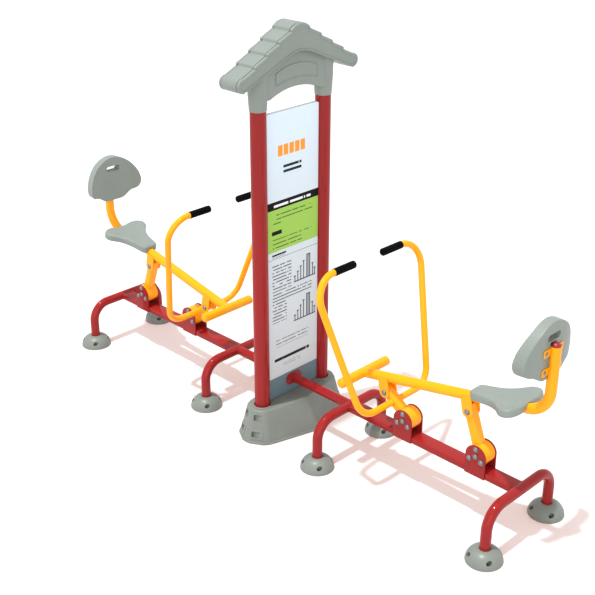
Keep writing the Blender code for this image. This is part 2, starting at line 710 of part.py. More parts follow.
def axle_mesh():
    """Axle bolt with the bearing sleeve clamped on it between the bracket plates."""
    reach = plate_inner() - SEAT_GAP
    sleeve = ((SLEEVE_RADIUS, reach), (BOLT_RADIUS, reach))
    return domed_bolt(BOLT_RADIUS, BOLT_HEAD_RADIUS, BOLT_HEAD_HEIGHT,
                      plate_inner() + BRACKET_THICKNESS + SEAT_GAP, AXLE_SIDES, sleeve)


def slot_half():
    """Half the width of a slot that clears a stop bolt."""
    return BOLT_RADIUS + SEAT_GAP * 2


def slot_points(angle, swing):
    """Arc slot about an axle, from a stop bolt at rest to the same bolt at full swing."""
    width = slot_half()
    outer = arc_points(STOP_CIRCLE + width, angle, angle + swing, SLOT_STEPS)
    inner = arc_points(STOP_CIRCLE - width, angle + swing, angle, SLOT_STEPS)
    far_x = STOP_CIRCLE * math.cos(angle + swing)
    far_z = STOP_CIRCLE * math.sin(angle + swing)
    near_x = STOP_CIRCLE * math.cos(angle)
    near_z = STOP_CIRCLE * math.sin(angle)
    far_end = arc_points(width, angle + swing, angle + swing + math.pi, 4, far_x, far_z)[1:-1]
    near_end = arc_points(width, angle + math.pi, angle + math.tau, 4, near_x, near_z)[1:-1]
    return outer + far_end + inner + near_end


def drum_mesh(swing):
    """Drum that turns on the sleeve, with three arc slots that the stop bolts limit."""
    half = plate_inner() - DRUM_SIDE_GAP
    bore = round_hole(SLEEVE_RADIUS, ROUND_SIDES)
    loops = [ring_points(DRUM_RADIUS, DRUM_SIDES), ring_points(bore, ROUND_SIDES)]
    loops += [slot_points(angle, swing) for angle in STOP_ANGLES]
    return extruded(loops, -half, half, "Y")


def lever_mesh(axle, pin, swing, holes):
    """Box tube welded on its drum, running past its link pin and drilled across."""
    run = pin - axle
    section = rounded_box_points(LEVER_HEIGHT / 2, LEVER_WIDTH / 2, LEVER_CORNER)
    mesh = extruded([section], 0, run.length + LEVER_END, "Z")
    mesh.transform(Matrix.Rotation(math.atan2(run.x, run.z), 4, "Y"))
    core = cylinder((STOP_CIRCLE + slot_half() + DRUM_RADIUS) / 2, -BEAM_WIDTH, BEAM_WIDTH, DRUM_SIDES, "Y")
    drills = [moved(cylinder(round_hole(radius, sides), -LEVER_WIDTH, LEVER_WIDTH, sides, "Y"),
                    place.x - axle.x, 0, place.z - axle.z) for place, radius, sides in holes]
    return united([drum_mesh(swing), cut(mesh, [core] + drills)])


def handle_corners(pivot):
    """Corners of the handlebar's centre line, counted from the front axle."""
    crossbar = crossbar_place()
    top = Vector((HANDLE_TOP_X, HANDLE_TOP_Y, HANDLE_TOP_Z))
    low = Vector((crossbar.x, HANDLE_LOW_Y, crossbar.z))
    end_y = GRIP_START_Y - GRIP_LENGTH + GRIP_END_WALL + SEAT_GAP
    right = [Vector((top.x, end_y, top.z)), top, low]
    left = [Vector((corner.x, -corner.y, corner.z)) for corner in reversed(right)]
    return [corner - pivot for corner in right + left]


def crossbar_place():
    """Where the handlebar's crossbar passes through the front lever, just clear of the link's ears."""
    axle = Vector((FRONT_AXLE_X, 0, AXLE_Z))
    pin = Vector((FRONT_PIN_X, 0, FRONT_PIN_Z))
    return pin + (axle - pin).normalized() * (EAR_HALF + HANDLE_CROSSBAR_GAP + HANDLE_RADIUS)


def handlebar_mesh(pivot):
    """One bent tube: two grips' ends, two sloping sides and the crossbar through the lever."""
    bends = (HANDLE_TOP_BEND, HANDLE_LOW_BEND, HANDLE_LOW_BEND, HANDLE_TOP_BEND)
    path = bent_path(handle_corners(pivot), bends, BEND_STEPS)
    return tube(path, HANDLE_RADIUS, HANDLE_RESOLUTION)


def grip_mesh(pivot, turn):
    """Closed rubber sleeve over one end of the handlebar."""
    bore = round_hole(HANDLE_RADIUS, GRIP_SIDES)
    tip = GRIP_START_Y - GRIP_LENGTH
    floor = tip + GRIP_END_WALL
    profile = ((0, floor), (bore, floor), (bore, GRIP_START_Y), (GRIP_RADIUS, GRIP_START_Y),
               (GRIP_RADIUS, tip + GRIP_END_EDGE), (GRIP_RADIUS - GRIP_END_EDGE, tip), (0, tip))
    grip = turned(profile, GRIP_SIDES, "Y")
    grip.transform(Matrix.Rotation(turn, 4, "Z"))
    return moved(grip, HANDLE_TOP_X - pivot.x, 0, HANDLE_TOP_Z - pivot.z)


def rail_direction():
    """Unit vector along the seat tube, from the footrest to the rear."""
    return Vector((REAR_PIN_X - FRONT_PIN_X, 0, REAR_PIN_Z - FRONT_PIN_Z)).normalized()


def rail_normal():
    """Unit vector square to the seat tube, pointing up."""
    run = rail_direction()
    return Vector((-run.z, 0, run.x))


def rail_point(x):
    """Point on the seat tube's centre line at the given X."""
    base = Vector((FRONT_PIN_X, 0, FRONT_PIN_Z)) + rail_normal() * RAIL_OFFSET
    run = rail_direction()
    return base + run * ((x - base.x) / run.x)


def rail_path():
    """Centre line of the seat tube: straight rail, bend and upright back post."""
    corners = [rail_point(FOOTREST_X), rail_point(BACK_POST_X), Vector((BACK_POST_X, 0, BACK_POST_TOP))]
    return bent_path(corners, (BACK_BEND,), BEND_STEPS + 1)


def seat_tube_mesh():
    """Bent seat tube with the welded tabs and their bolts, coped to the footrest at its front end."""
    foot = rail_point(FOOTREST_X)
    cope = moved(cylinder(TUBE_RADIUS + SEAT_GAP, -BEAM_WIDTH, BEAM_WIDTH, ROUND_SIDES, "Y"), foot.x, 0, foot.z)
    bare = cut(tube(rail_path(), TUBE_RADIUS, TUBE_RESOLUTION), [cope])
    return united([bare] + pad_tabs() + pad_bolts())


def footrest_mesh():
    """Cross tube for both feet, with rounded ends."""
    foot = rail_point(FOOTREST_X)
    straight = FOOTREST_HALF - FOOTREST_END
    half = [(TUBE_RADIUS * math.cos(turn), straight + FOOTREST_END * math.sin(turn))
            for turn in (0, math.pi / 6, math.pi / 3, math.pi / 2)]
    profile = [(radius, -place) for radius, place in reversed(half)] + half
    return moved(turned(profile, ROUND_SIDES, "Y"), foot.x, 0, foot.z)


def link_mesh(pin):
    """Two ear plates from the seat tube's sides down to a pivot bolt, and the bolt that clamps them."""
    run = rail_direction()
    up = rail_normal()
    centre = Vector((pin.x, pin.z))
    along = Vector((run.x, run.z)) * EAR_HALF
    rise = Vector((up.x, up.z)) * RAIL_OFFSET
    turn = math.atan2(run.z, run.x)
    outline = [tuple(centre + along + rise), tuple(centre - along + rise)]
    outline += arc_points(EAR_HALF, turn + math.pi, turn + math.tau, 6, pin.x, pin.z)
    near = TUBE_RADIUS + SEAT_GAP
    far = near + EAR_THICKNESS
    bolt = domed_bolt(BOLT_RADIUS, LINK_WASHER_RADIUS, BOLT_HEAD_HEIGHT, far - JOIN_DEPTH, BOLT_SIDES)
    return united([moved(bolt, pin.x, 0, pin.z), extruded([outline], near, far, "Y"),
                   extruded([outline], -far, -near, "Y")])


def tube_plug_mesh():
    """Domed plug in the top end of the back post."""
    dome = tuple((PLUG_RADIUS * wide, PLUG_HEIGHT * high) for wide, high in PLUG_DOME_SHARES)
    mesh = turned(((0, 0),) + dome + ((0, PLUG_HEIGHT),), ROUND_SIDES, "Z")
    return moved(mesh, BACK_POST_X, 0, BACK_POST_TOP + SEAT_GAP)


def rail_frame():
    """Matrix from saddle coordinates, along and square to the seat tube, to the station."""
    base = Vector((FRONT_PIN_X, 0, FRONT_PIN_Z)) + rail_normal() * RAIL_OFFSET
    return Matrix.Translation(base) @ Matrix.Rotation(-math.atan2(rail_direction().z, rail_direction().x), 4, "Y")


def saddle_mesh():
    """Moulded saddle that sits over the seat tube, with blind holes for its bolts."""
    start = SADDLE_START
    right = [(start + SADDLE_LENGTH * along, SADDLE_HALF * wide) for along, wide in SADDLE_OUTLINE_SHARES]
    left = [(along, -across) for along, across in reversed(right)]
    mesh = extruded([right + left], 0, SADDLE_NOSE_HEIGHT, "Z")
    fall = SADDLE_NOSE_HEIGHT - SADDLE_REAR_HEIGHT
    for corner in mesh.vertices:
        if corner.co.z > 0:
            corner.co.z -= fall * (corner.co.x - start) / SADDLE_LENGTH
    mesh = edges_bevelled(mesh, SADDLE_EDGE, 3, lambda edge: all(end.co.z > SADDLE_EDGE for end in edge.verts))
    mesh.transform(rail_frame())
    groove = tube(rail_path(), TUBE_RADIUS + SEAT_GAP, TUBE_RESOLUTION)
    return cut(mesh, [groove] + [moved_to_rail(bolt_hole("Z", 0, PAD_BOLT_DEPTH), along, across, 0)
                                 for along, across in saddle_bolt_places()])


def bolt_hole(axis, low, high):
    """Blind hole cutter for a pad bolt's shank."""
    return cylinder(round_hole(PAD_BOLT_RADIUS, BOLT_SIDES), low - OVERRUN, high + SEAT_GAP, BOLT_SIDES, axis)


def moved_to_rail(mesh, along, across, up):
    """Mesh in saddle coordinates put in its place on the station."""
    mesh.transform(rail_frame() @ Matrix.Translation((along, across, up)))
    return mesh


def saddle_bolt_places():
    """Places of the saddle's bolts, along the tube and across."""
    along = SADDLE_START + SADDLE_LENGTH * SADDLE_TAB_SHARE
    return [(along, side * SADDLE_TAB_BOLT_Y) for side in (-1, 1)]


def back_bolt_places():
    """Places of the backrest's bolts, across and up."""
    return [(side * BACK_TAB_BOLT_Y, BACK_BOTTOM_Z + BACK_HEIGHT * share)
            for share in BACK_TAB_LEVEL_SHARES for side in (-1, 1)]


def backrest_mesh():
    """D-shaped rest: flat behind the tabs and dished outside them, with a hand slot and a post channel."""
    right = [(BACK_HALF * wide, BACK_BOTTOM_Z + BACK_HEIGHT * high) for wide, high in BACK_OUTLINE_SHARES]
    left = [(-y, z) for y, z in reversed(right)]
    outline = right + [(0, BACK_BOTTOM_Z + BACK_HEIGHT)] + left
    work = bmesh.new()
    work.from_mesh(extruded([outline], 0, BACK_REAR_X - BACK_FRONT_X, "X"))
    for y in sorted({y for y, z in outline if abs(y) < BACK_HALF}):
        everything = work.verts[:] + work.edges[:] + work.faces[:]
        bmesh.ops.bisect_plane(work, geom=everything, plane_co=(0, y, 0), plane_no=(0, 1, 0), dist=MERGE)
    for corner in work.verts:
        front = corner.co.x < (BACK_REAR_X - BACK_FRONT_X) / 2
        corner.co.x += BACK_FRONT_X - back_bow(corner.co.y) * (BACK_FRONT_SAG if front else BACK_REAR_SAG)
        if not front:
            corner.co.y *= BACK_REAR_SHARE
    bmesh.ops.bevel(work, geom=rim_edges(work), offset=BACK_EDGE, segments=2, profile=0.5,
                    affect="EDGES", clamp_overlap=True)
    slot_z = BACK_BOTTOM_Z + BACK_HEIGHT * HAND_SLOT_SHARE
    slot = extruded([rounded_box_points(HAND_SLOT_HALF, HAND_SLOT_HEIGHT / 2, HAND_SLOT_HEIGHT / 2 - MERGE)],
                    BACK_FRONT_X - BACK_HALF, BACK_REAR_X + BACK_HALF, "X")
    channel = tube([Vector((BACK_POST_X, 0, BACK_BOTTOM_Z - OVERRUN)),
                    Vector((BACK_POST_X, 0, BACK_POST_TOP + PLUG_HEIGHT))], TUBE_RADIUS + SEAT_GAP, TUBE_RESOLUTION)
    holes = [moved(bolt_hole("X", -PAD_BOLT_DEPTH, OVERRUN), BACK_REAR_X, y, z) for y, z in back_bolt_places()]
    return cut(finished(work), [moved(slot, 0, 0, slot_z), channel] + holes)


def back_bow(y):
    """Share of the backrest's bow at a distance from its middle; nothing behind the tabs."""
    outside = max(abs(y) - BACK_TAB_REACH, 0)
    return (outside / (BACK_HALF - BACK_TAB_REACH)) ** 2


def rim_edges(work):
    """Edges of the backrest between its faces and its rim."""
    return [edge for edge in work.edges if edge.is_manifold and edge.calc_face_angle(0) > RIM_ANGLE
            and any(abs(face.normal.x) > FACE_NORMAL_SHARE for face in edge.link_faces)]


def tab_outline(far, side):
    """Tab with chamfered outer corners that runs along Y from inside the tube to the given side."""
    near = TUBE_RADIUS * TAB_START_SHARE
    edge = TAB_WIDTH / 2
    corners = [(near, -edge), (far - edge / 2, -edge), (far, -edge / 2), (far, edge / 2),
               (far - edge / 2, edge), (near, edge)]
    return [(side * y, place) for y, place in corners]


def pad_tabs():
    """Two tabs under the saddle and four behind the backrest."""
    tabs = []
    for along, across in saddle_bolt_places():
        outline = [(place, y) for y, place in tab_outline(SADDLE_TAB_REACH, math.copysign(1, across))]
        tab = extruded([outline], -SEAT_GAP - TAB_THICKNESS, -SEAT_GAP, "Z")
        tabs.append(moved_to_rail(tab, along, 0, 0))
    for across, z in back_bolt_places():
        outline = tab_outline(BACK_TAB_REACH, math.copysign(1, across))
        tab = extruded([outline], SEAT_GAP, SEAT_GAP + TAB_THICKNESS, "X")
        tabs.append(moved(tab, BACK_REAR_X, 0, z))
    return tabs


def pad_bolt(axis):
    """Short domed bolt: its head on the outside of a tab and its shank in the pad."""
    grip = SEAT_GAP + TAB_THICKNESS - JOIN_DEPTH
    shoulder_share, rise_share = BOLT_DOME_SHARES
    head = PAD_BOLT_HEAD_RADIUS
    height = PAD_BOLT_HEAD_HEIGHT
    profile = ((0, -PAD_BOLT_DEPTH), (PAD_BOLT_RADIUS, -PAD_BOLT_DEPTH), (PAD_BOLT_RADIUS, grip), (head, grip),
               (head * shoulder_share, grip + height * rise_share), (0, grip + height))
    return turned(profile, BOLT_SIDES, axis)


def pad_bolts():
    """Bolts of the saddle and the backrest."""
    bolts = []
    for along, across in saddle_bolt_places():
        bolt = pad_bolt("Z")
        bolt.transform(Matrix.Rotation(math.pi, 4, "X"))
        bolts.append(moved_to_rail(bolt, along, across, 0))
    for y, z in back_bolt_places():
        bolts.append(moved(pad_bolt("X"), BACK_REAR_X, y, z))
    return bolts


def carried(mesh, pivot):
    """Station mesh re-counted from the joint that carries it."""
    return moved(mesh, -pivot.x, -pivot.y, -pivot.z)


def pylon_pieces(finishes):
    """Pieces of the centre frame."""
    near = add_piece("near_post", post_mesh(), finishes["red"])
    near.location = (0, -POST_Y, 0)
    far = add_piece("far_post", post_mesh(), finishes["red"])
    far.location = (0, POST_Y, 0)
    add_piece("sign_panel", panel_mesh(), finishes["panel"])
    add_piece("centre_pipe", centre_pipe_mesh(), finishes["red"])
    add_piece("base_skirt", skirt_mesh(), finishes["grey"])
    add_piece("roof_cap", roof_mesh(), finishes["grey"])


def fixed_shapes():
    """Station pieces that stand still: name to mesh and finish."""
    shapes = {"inner_leg": (leg_mesh(INNER_LEG_X), "red"), "outer_leg": (leg_mesh(OUTER_LEG_X), "red"),
              "beam": (beam_mesh(), "red")}
    for leg, x in (("inner", INNER_LEG_X), ("outer", OUTER_LEG_X)):
        for number, side in enumerate((-1, 1)):
            shapes["%s_foot_%d" % (leg, number + 1)] = (foot_mesh(x, side), "grey")
    for end, axle_x in (("front", FRONT_AXLE_X), ("rear", REAR_AXLE_X)):
        shapes[end + "_axle"] = (moved(axle_mesh(), axle_x, 0, AXLE_Z), "steel")
        for number, (along, up) in enumerate(stop_places()):
            bolt = moved(stop_bolt_mesh(), axle_x + along, 0, AXLE_Z + up)
            shapes["%s_stop_%d" % (end, number + 1)] = (bolt, "steel")
    return shapes


def front_lever_shapes(axle, pin):
    """Pieces that swing on the front axle, counted from it; the pin's bore has the linkage's play."""
    holes = ((pin, BOLT_RADIUS + OPEN_PIVOT_PLAY, BOLT_SIDES), (crossbar_place(), HANDLE_RADIUS, ROUND_SIDES))
    return {"front_lever": (lever_mesh(axle, pin, FRONT_SWING, holes), "yellow"),
            "handlebar": (handlebar_mesh(axle), "yellow"), "grip_1": (grip_mesh(axle, 0), "black"),
            "grip_2": (grip_mesh(axle, math.pi), "black")}


def rear_lever_shapes(axle, pin):
    """Pieces that swing on the rear axle, counted from it."""
    return {"rear_lever": (lever_mesh(axle, pin, REAR_SWING, ((pin, BOLT_RADIUS, BOLT_SIDES),)), "yellow")}


def seat_frame_shapes(front_pin, rear_pin):
    """Pieces that the two levers carry, counted from the rear link pin."""
    shapes = {"seat_tube": (seat_tube_mesh(), "yellow"), "footrest": (footrest_mesh(), "yellow"),
              "front_link": (link_mesh(front_pin), "yellow"), "rear_link": (link_mesh(rear_pin), "yellow"),
              "tube_plug": (tube_plug_mesh(), "red"), "saddle": (saddle_mesh(), "grey"),
              "backrest": (backrest_mesh(), "grey")}
    return {name: (carried(mesh, rear_pin), finish) for name, (mesh, finish) in shapes.items()}


def station_pieces(side, turn, groups, finishes):
    """One station: an empty turned to its side, with an empty on each joint's axis."""
    front_axle = Vector((FRONT_AXLE_X, 0, AXLE_Z))
    rear_axle = Vector((REAR_AXLE_X, 0, AXLE_Z))
    rear_pin = Vector((REAR_PIN_X, 0, REAR_PIN_Z))
    station = empty_at(side + "_station", (0, 0, 0))
    station.rotation_euler = (0, 0, turn)
    front_joint = empty_at(side + "_front_joint", front_axle, station)
    rear_joint = empty_at(side + "_rear_joint", rear_axle, station)
    seat_joint = empty_at(side + "_seat_joint", rear_pin - rear_axle, rear_joint)
    for carrier, shapes in zip((station, front_joint, rear_joint, seat_joint), groups):
        for name, (mesh, finish) in shapes.items():
            add_piece(side + "_" + name, mesh, finishes[finish], carrier)


def build():
    """The whole machine."""
    clear_scene()
    finishes = {"red": finish_material("red_paint", RED_PAINT, 0.35, 0.0),
                "yellow": finish_material("yellow_paint", YELLOW_PAINT, 0.35, 0.0),
                "grey": finish_material("grey_plastic", GREY_PLASTIC, 0.55, 0.0),
                "black": finish_material("black_rubber", BLACK_RUBBER, 0.6, 0.0),
                "panel": finish_material("pale_panel", PALE_PANEL, 0.4, 0.0),
                "steel": finish_material("steel", STEEL, 0.35, 1.0)}
    pylon_pieces(finishes)
    front_axle = Vector((FRONT_AXLE_X, 0, AXLE_Z))
    rear_axle = Vector((REAR_AXLE_X, 0, AXLE_Z))
    front_pin = Vector((FRONT_PIN_X, 0, FRONT_PIN_Z))
    rear_pin = Vector((REAR_PIN_X, 0, REAR_PIN_Z))
    groups = (fixed_shapes(), front_lever_shapes(front_axle, front_pin),
              rear_lever_shapes(rear_axle, rear_pin), seat_frame_shapes(front_pin, rear_pin))
    for side, turn in (("right", 0), ("left", math.pi)):
        station_pieces(side, turn, groups, finishes)


build()
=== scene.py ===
"""Looks of the outdoor rowing machine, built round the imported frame."""
import math

import bmesh
import bpy
from mathutils import Matrix, Quaternion, Vector


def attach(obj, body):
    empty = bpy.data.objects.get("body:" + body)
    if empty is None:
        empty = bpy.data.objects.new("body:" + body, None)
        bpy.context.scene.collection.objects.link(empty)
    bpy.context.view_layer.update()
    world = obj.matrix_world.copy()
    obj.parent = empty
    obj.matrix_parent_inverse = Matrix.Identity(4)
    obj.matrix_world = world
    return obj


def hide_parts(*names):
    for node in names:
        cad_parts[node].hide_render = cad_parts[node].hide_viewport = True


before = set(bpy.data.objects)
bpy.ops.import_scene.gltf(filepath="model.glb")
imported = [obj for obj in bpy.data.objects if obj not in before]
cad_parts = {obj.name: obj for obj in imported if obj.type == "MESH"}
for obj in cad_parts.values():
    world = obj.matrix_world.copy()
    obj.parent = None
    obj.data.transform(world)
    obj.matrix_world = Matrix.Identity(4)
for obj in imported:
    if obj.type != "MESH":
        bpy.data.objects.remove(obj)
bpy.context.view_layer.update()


# The two posts are round steel tube, each welded on a round flange that four anchor bolts hold down.
# They are powder coated red, which leaves a glossy skin with a fine orange peel.
POST_RADIUS = 0.03805
POST_Y = 0.2078
POST_HEIGHT = 1.8
FLANGE_RADIUS = 0.085
FLANGE_THICKNESS = 0.010
ANCHOR_CIRCLE = 0.062
ANCHOR_RADIUS = 0.0075
ANCHOR_HEIGHT = 0.006
SHARP_ANGLE = math.radians(32)
MERGE = 0.00001
RED = (0.272, 0.013, 0.013, 1.0)
STEEL = (0.19, 0.20, 0.21, 1.0)


def feed(tree, target, inputs):
    """Set each named input of a node, or link it to another node's result."""
    for name, value in inputs.items():
        if hasattr(value, "links"):
            tree.links.new(value, target.inputs[name])
        else:
            target.inputs[name].default_value = value


def node(tree, kind, inputs, **settings):
    """New node of a finish with its settings and inputs."""
    made = tree.nodes.new("ShaderNode" + kind)
    for name, value in settings.items():
        setattr(made, name, value)
    feed(tree, made, inputs)
    return made


def grain(tree, scale, detail):
    """Noise fixed to the piece, so that it moves with it."""
    place = node(tree, "TexCoord", {}).outputs["Object"]
    return node(tree, "TexNoise", {"Vector": place, "Scale": scale, "Detail": detail}).outputs["Fac"]


def spread(tree, source, low, high, new_low=0.0, new_high=1.0):
    """One range of values stretched to another."""
    ends = {"From Min": low, "From Max": high, "To Min": new_low, "To Max": new_high}
    return node(tree, "MapRange", {"Value": source, **ends}).outputs["Result"]


def clouds(tree, scale, detail, new_low=0.0, new_high=1.0, low=0.3, high=0.7):
    """Noise stretched to the range that a finish needs."""
    return spread(tree, grain(tree, scale, detail), low, high, new_low, new_high)


def tinted(tree, share, first, second):
    """Two colours mixed by a share from 0 to 1."""
    return node(tree, "Mix", {"Factor": share, "A": first, "B": second}, data_type="RGBA").outputs["Result"]


def relief(tree, rows):
    """Stacked bumps from rows of grain scale, grain detail, strength and depth."""
    below = {}
    for scale, detail, strength, depth in rows:
        height = grain(tree, scale, detail)
        bump = node(tree, "Bump", {"Height": height, "Strength": strength, "Distance": depth, **below})
        below = {"Normal": bump.outputs["Normal"]}
    return bump.outputs["Normal"]


def scaled(colour, share):
    """Lighter or darker tone of a colour."""
    return tuple(channel * share for channel in colour[:3]) + (1.0,)


def new_finish(name):
    """Empty finish for a slot of the record: its material, node tree and shader."""
    material = bpy.data.materials.new(name)
    material.use_nodes = True
    return material, material.node_tree, material.node_tree.nodes["Principled BSDF"]


def powder_coat(name, colour):
    """Glossy powder coat: slight clouding, fine flecks, orange peel and a thin clear skin."""
    material, tree, shader = new_finish(name)
    base = tinted(tree, clouds(tree, 5.0, 3.0), scaled(colour, 0.94), scaled(colour, 1.05))
    flecks = clouds(tree, 900.0, 1.0, low=0.35, high=0.65)
    feed(tree, shader, {"Base Color": tinted(tree, flecks, scaled(colour, 0.97), base),
                        "Roughness": clouds(tree, 22.0, 4.0, 0.27, 0.37),
                        "Specular IOR Level": 0.04, "Coat Weight": 0.36, "Coat Roughness": 0.07,
                        "Normal": relief(tree, ((320.0, 2.0, 0.10, 0.0006), (40.0, 1.0, 0.05, 0.001)))})
    return material


def zinc_steel():
    """Zinc plated steel of the bolts: dull spots, a fine grain and a cool sheen."""
    material, tree, shader = new_finish("zinc_steel")
    spots = clouds(tree, 160.0, 5.0, low=0.35)
    feed(tree, shader, {"Base Color": tinted(tree, spots, STEEL, scaled(STEEL, 1.35)),
                        "Metallic": 0.85, "Roughness": clouds(tree, 90.0, 4.0, 0.28, 0.46),
                        "Normal": relief(tree, ((700.0, 3.0, 0.12, 0.0004),))})
    return material


red_paint = powder_coat("red_paint", RED)
steel = zinc_steel()


def shape_from(work):
    """Mesh of a finished shape, its faces turned outwards."""
    bmesh.ops.recalc_face_normals(work, faces=work.faces)
    mesh = bpy.data.meshes.new("shape")
    work.to_mesh(mesh)
    work.free()
    return mesh


def turned(profile, steps, axis="Z"):
    """Profile of (radius, height) pairs spun once round an axis."""
    work = bmesh.new()
    corners = [work.verts.new((radius, 0, height)) for radius, height in profile]
    edges = [work.edges.new(pair) for pair in zip(corners, corners[1:])]
    bmesh.ops.spin(work, geom=corners + edges, cent=(0, 0, 0), axis=(0, 0, 1), angle=math.tau, steps=steps)
    bmesh.ops.remove_doubles(work, verts=work.verts, dist=MERGE)
    mesh = shape_from(work)
    if axis == "Y":
        mesh.transform(Matrix.Rotation(-math.pi / 2, 4, "X"))
    if axis == "X":
        mesh.transform(Matrix.Rotation(math.pi / 2, 4, "Y"))
    return mesh


def rod(radius, low, high, steps):
    """Plain round bar between two heights."""
    return turned(((0, low), (radius, low), (radius, high), (0, high)), steps)


def on_axis(axis, along, first, second):
    """Point whose place on the named axis is along; the others follow in X, Y, Z order."""
    return {"X": (along, first, second), "Y": (first, along, second), "Z": (first, second, along)}[axis]


def plate(loops, low, high, axis):
    """Flat outline, with any holes after it, cut from sheet that runs from low to high on an axis."""
    work = bmesh.new()
    edges = []
    for loop in loops:
        corners = [work.verts.new(on_axis(axis, low, first, second)) for first, second in loop]
        edges += [work.edges.new((corners[index - 1], corners[index])) for index in range(len(corners))]
    if len(loops) == 1:
        work.faces.new(corners)
    else:
        bmesh.ops.triangle_fill(work, use_beauty=True, edges=edges)
    pushed = bmesh.ops.extrude_face_region(work, geom=work.faces[:])
    corners = [item for item in pushed["geom"] if isinstance(item, bmesh.types.BMVert)]
    bmesh.ops.translate(work, verts=corners, vec=on_axis(axis, high - low, 0, 0))
    return shape_from(work)


def at_place(mesh, x, y, z):
    """The mesh shifted to its place."""
    mesh.transform(Matrix.Translation((x, y, z)))
    return mesh


def opened(*meshes):
    """Working copy of one mesh, or of several closed shapes kept as one."""
    work = bmesh.new()
    for mesh in meshes:
        work.from_mesh(mesh)
    return work


def arc(radius, start, end, steps, first=0.0, second=0.0):
    """Corners along part of a circle."""
    turns = [start + (end - start) * index / steps for index in range(steps + 1)]
    return [(first + radius * math.cos(turn), second + radius * math.sin(turn)) for turn in turns]


def ring(radius, steps, first=0.0, second=0.0):
    """Corners of a round outline."""
    return arc(radius, 0.0, math.tau, steps, first, second)[:-1]


def hex_bolt(radius, height, x, y, z):
    """Hexagon head on a round washer."""
    washer = height * 0.2
    return [at_place(rod(radius * 1.35, 0, washer, 24), x, y, z),
            plate([ring(radius, 6, x, y)], z + washer, z + height, "Z")]


def linked(name, data):
    """Object with its data, put into the scene."""
    item = bpy.data.objects.new(name, data)
    bpy.context.scene.collection.objects.link(item)
    return item


def shown(name, mesh, finish, node_name="", body="frame", edge=0.0, turn=0.0):
    """One piece with its finish, softened edges, the body it moves with and the CAD node it stands for."""
    mesh.materials.clear()
    mesh.materials.append(finish)
    mesh.shade_smooth()
    piece = linked(name, mesh)
    piece.rotation_euler.z = turn
    if edge:
        bevel = piece.modifiers.new("edge", "BEVEL")
        bevel.width = edge
        bevel.segments = 2
        bevel.limit_method = "ANGLE"
        bevel.angle_limit = SHARP_ANGLE
        bevel.harden_normals = True
    else:
        mesh.set_sharp_from_angle(angle=SHARP_ANGLE)
    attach(piece, body)
    if node_name:
        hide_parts(node_name)


for post, side in (("near_post", -1), ("far_post", 1)):
    post_parts = opened(rod(POST_RADIUS, FLANGE_THICKNESS, POST_HEIGHT, 64),
                        rod(FLANGE_RADIUS, 0, FLANGE_THICKNESS, 48))
    shown(post + "_tube", at_place(shape_from(post_parts), 0, side * POST_Y, 0), red_paint, post)
    anchors = []
    for x, y in arc(ANCHOR_CIRCLE, math.pi / 4, math.pi * 7 / 4, 3):
        anchors += hex_bolt(ANCHOR_RADIUS, ANCHOR_HEIGHT, x, side * POST_Y + y, FLANGE_THICKNESS)
    shown(post + "_anchor_bolts", shape_from(opened(*anchors)), steel)


# The sign is a flat box panel of satin sheet between the posts, printed alike on both faces.
# Its print is plain bands, bars and blocks of colour; the folded edges stay bare.
SEAT_GAP = 0.0003
PANEL_THICKNESS = 0.020
PANEL_BOTTOM = 0.1725
PANEL_TOP = 1.6412
PANEL_CORNER = 0.012
PANEL_HALF = POST_Y - POST_RADIUS - SEAT_GAP
PANEL_EDGE = 0.0012
PIPE_RADIUS = 0.02415
FRAME_Z = 0.2445
BLOCK_PITCH = 0.0365
CHART_MIDDLE = 0.066
CHART_FEET = (0.772, 0.560)
CHART_BARS = ((-0.054, 0.026), (-0.034, 0.046), (-0.014, 0.068), (0.006, 0.090), (0.068, 0.060),
              (0.082, 0.032))


def rounded_box(half_first, half_second, corner, steps=4):
    """Corners of a rectangle with rounded corners."""
    points = []
    for quarter, (first, second) in enumerate(((1, 1), (-1, 1), (-1, -1), (1, -1))):
        points += arc(corner, math.pi / 2 * quarter, math.pi / 2 * (quarter + 1), steps,
                      first * (half_first - corner), second * (half_second - corner))
    return points


def sum_of(tree, operation, *values):
    """One step of arithmetic in a finish."""
    return node(tree, "Math", dict(enumerate(values)), operation=operation).outputs[0]


def own_place(tree):
    """X, Y and Z of a point, fixed to its piece."""
    place = node(tree, "TexCoord", {}).outputs["Object"]
    return node(tree, "SeparateXYZ", {"Vector": place}).outputs


def either(tree, masks):
    """Union of printed areas."""
    whole = masks[0]
    for mask in masks[1:]:
        whole = sum_of(tree, "MAXIMUM", whole, mask)
    return whole


def printed_box(bed, left, right, low, high):
    """1 inside a printed rectangle and 0 outside it."""
    tree, across, height = bed
    wide = sum_of(tree, "COMPARE", across, (left + right) / 2, (right - left) / 2)
    tall = sum_of(tree, "COMPARE", height, (low + high) / 2, (high - low) / 2)
    return sum_of(tree, "MULTIPLY", wide, tall)


def word_bars(bed, left, right, low, high, pitch, weight, gap=0.36):
    """Rows of short bars, like lines of small print, inside a rectangle."""
    tree, across, height = bed
    rows = sum_of(tree, "DIVIDE", height, pitch)
    ink = sum_of(tree, "LESS_THAN", sum_of(tree, "FRACT", rows), weight)
    spot = node(tree, "CombineXYZ", {"X": sum_of(tree, "MULTIPLY", across, 62.0),
                                     "Y": sum_of(tree, "MULTIPLY", sum_of(tree, "FLOOR", rows), 7.31)})
    noise = node(tree, "TexNoise", {"Vector": spot.outputs["Vector"], "Scale": 1.0, "Detail": 0.0})
    bars = sum_of(tree, "MULTIPLY", ink, sum_of(tree, "GREATER_THAN", noise.outputs["Fac"], gap))
    return sum_of(tree, "MULTIPLY", bars, printed_box(bed, left, right, low, high))


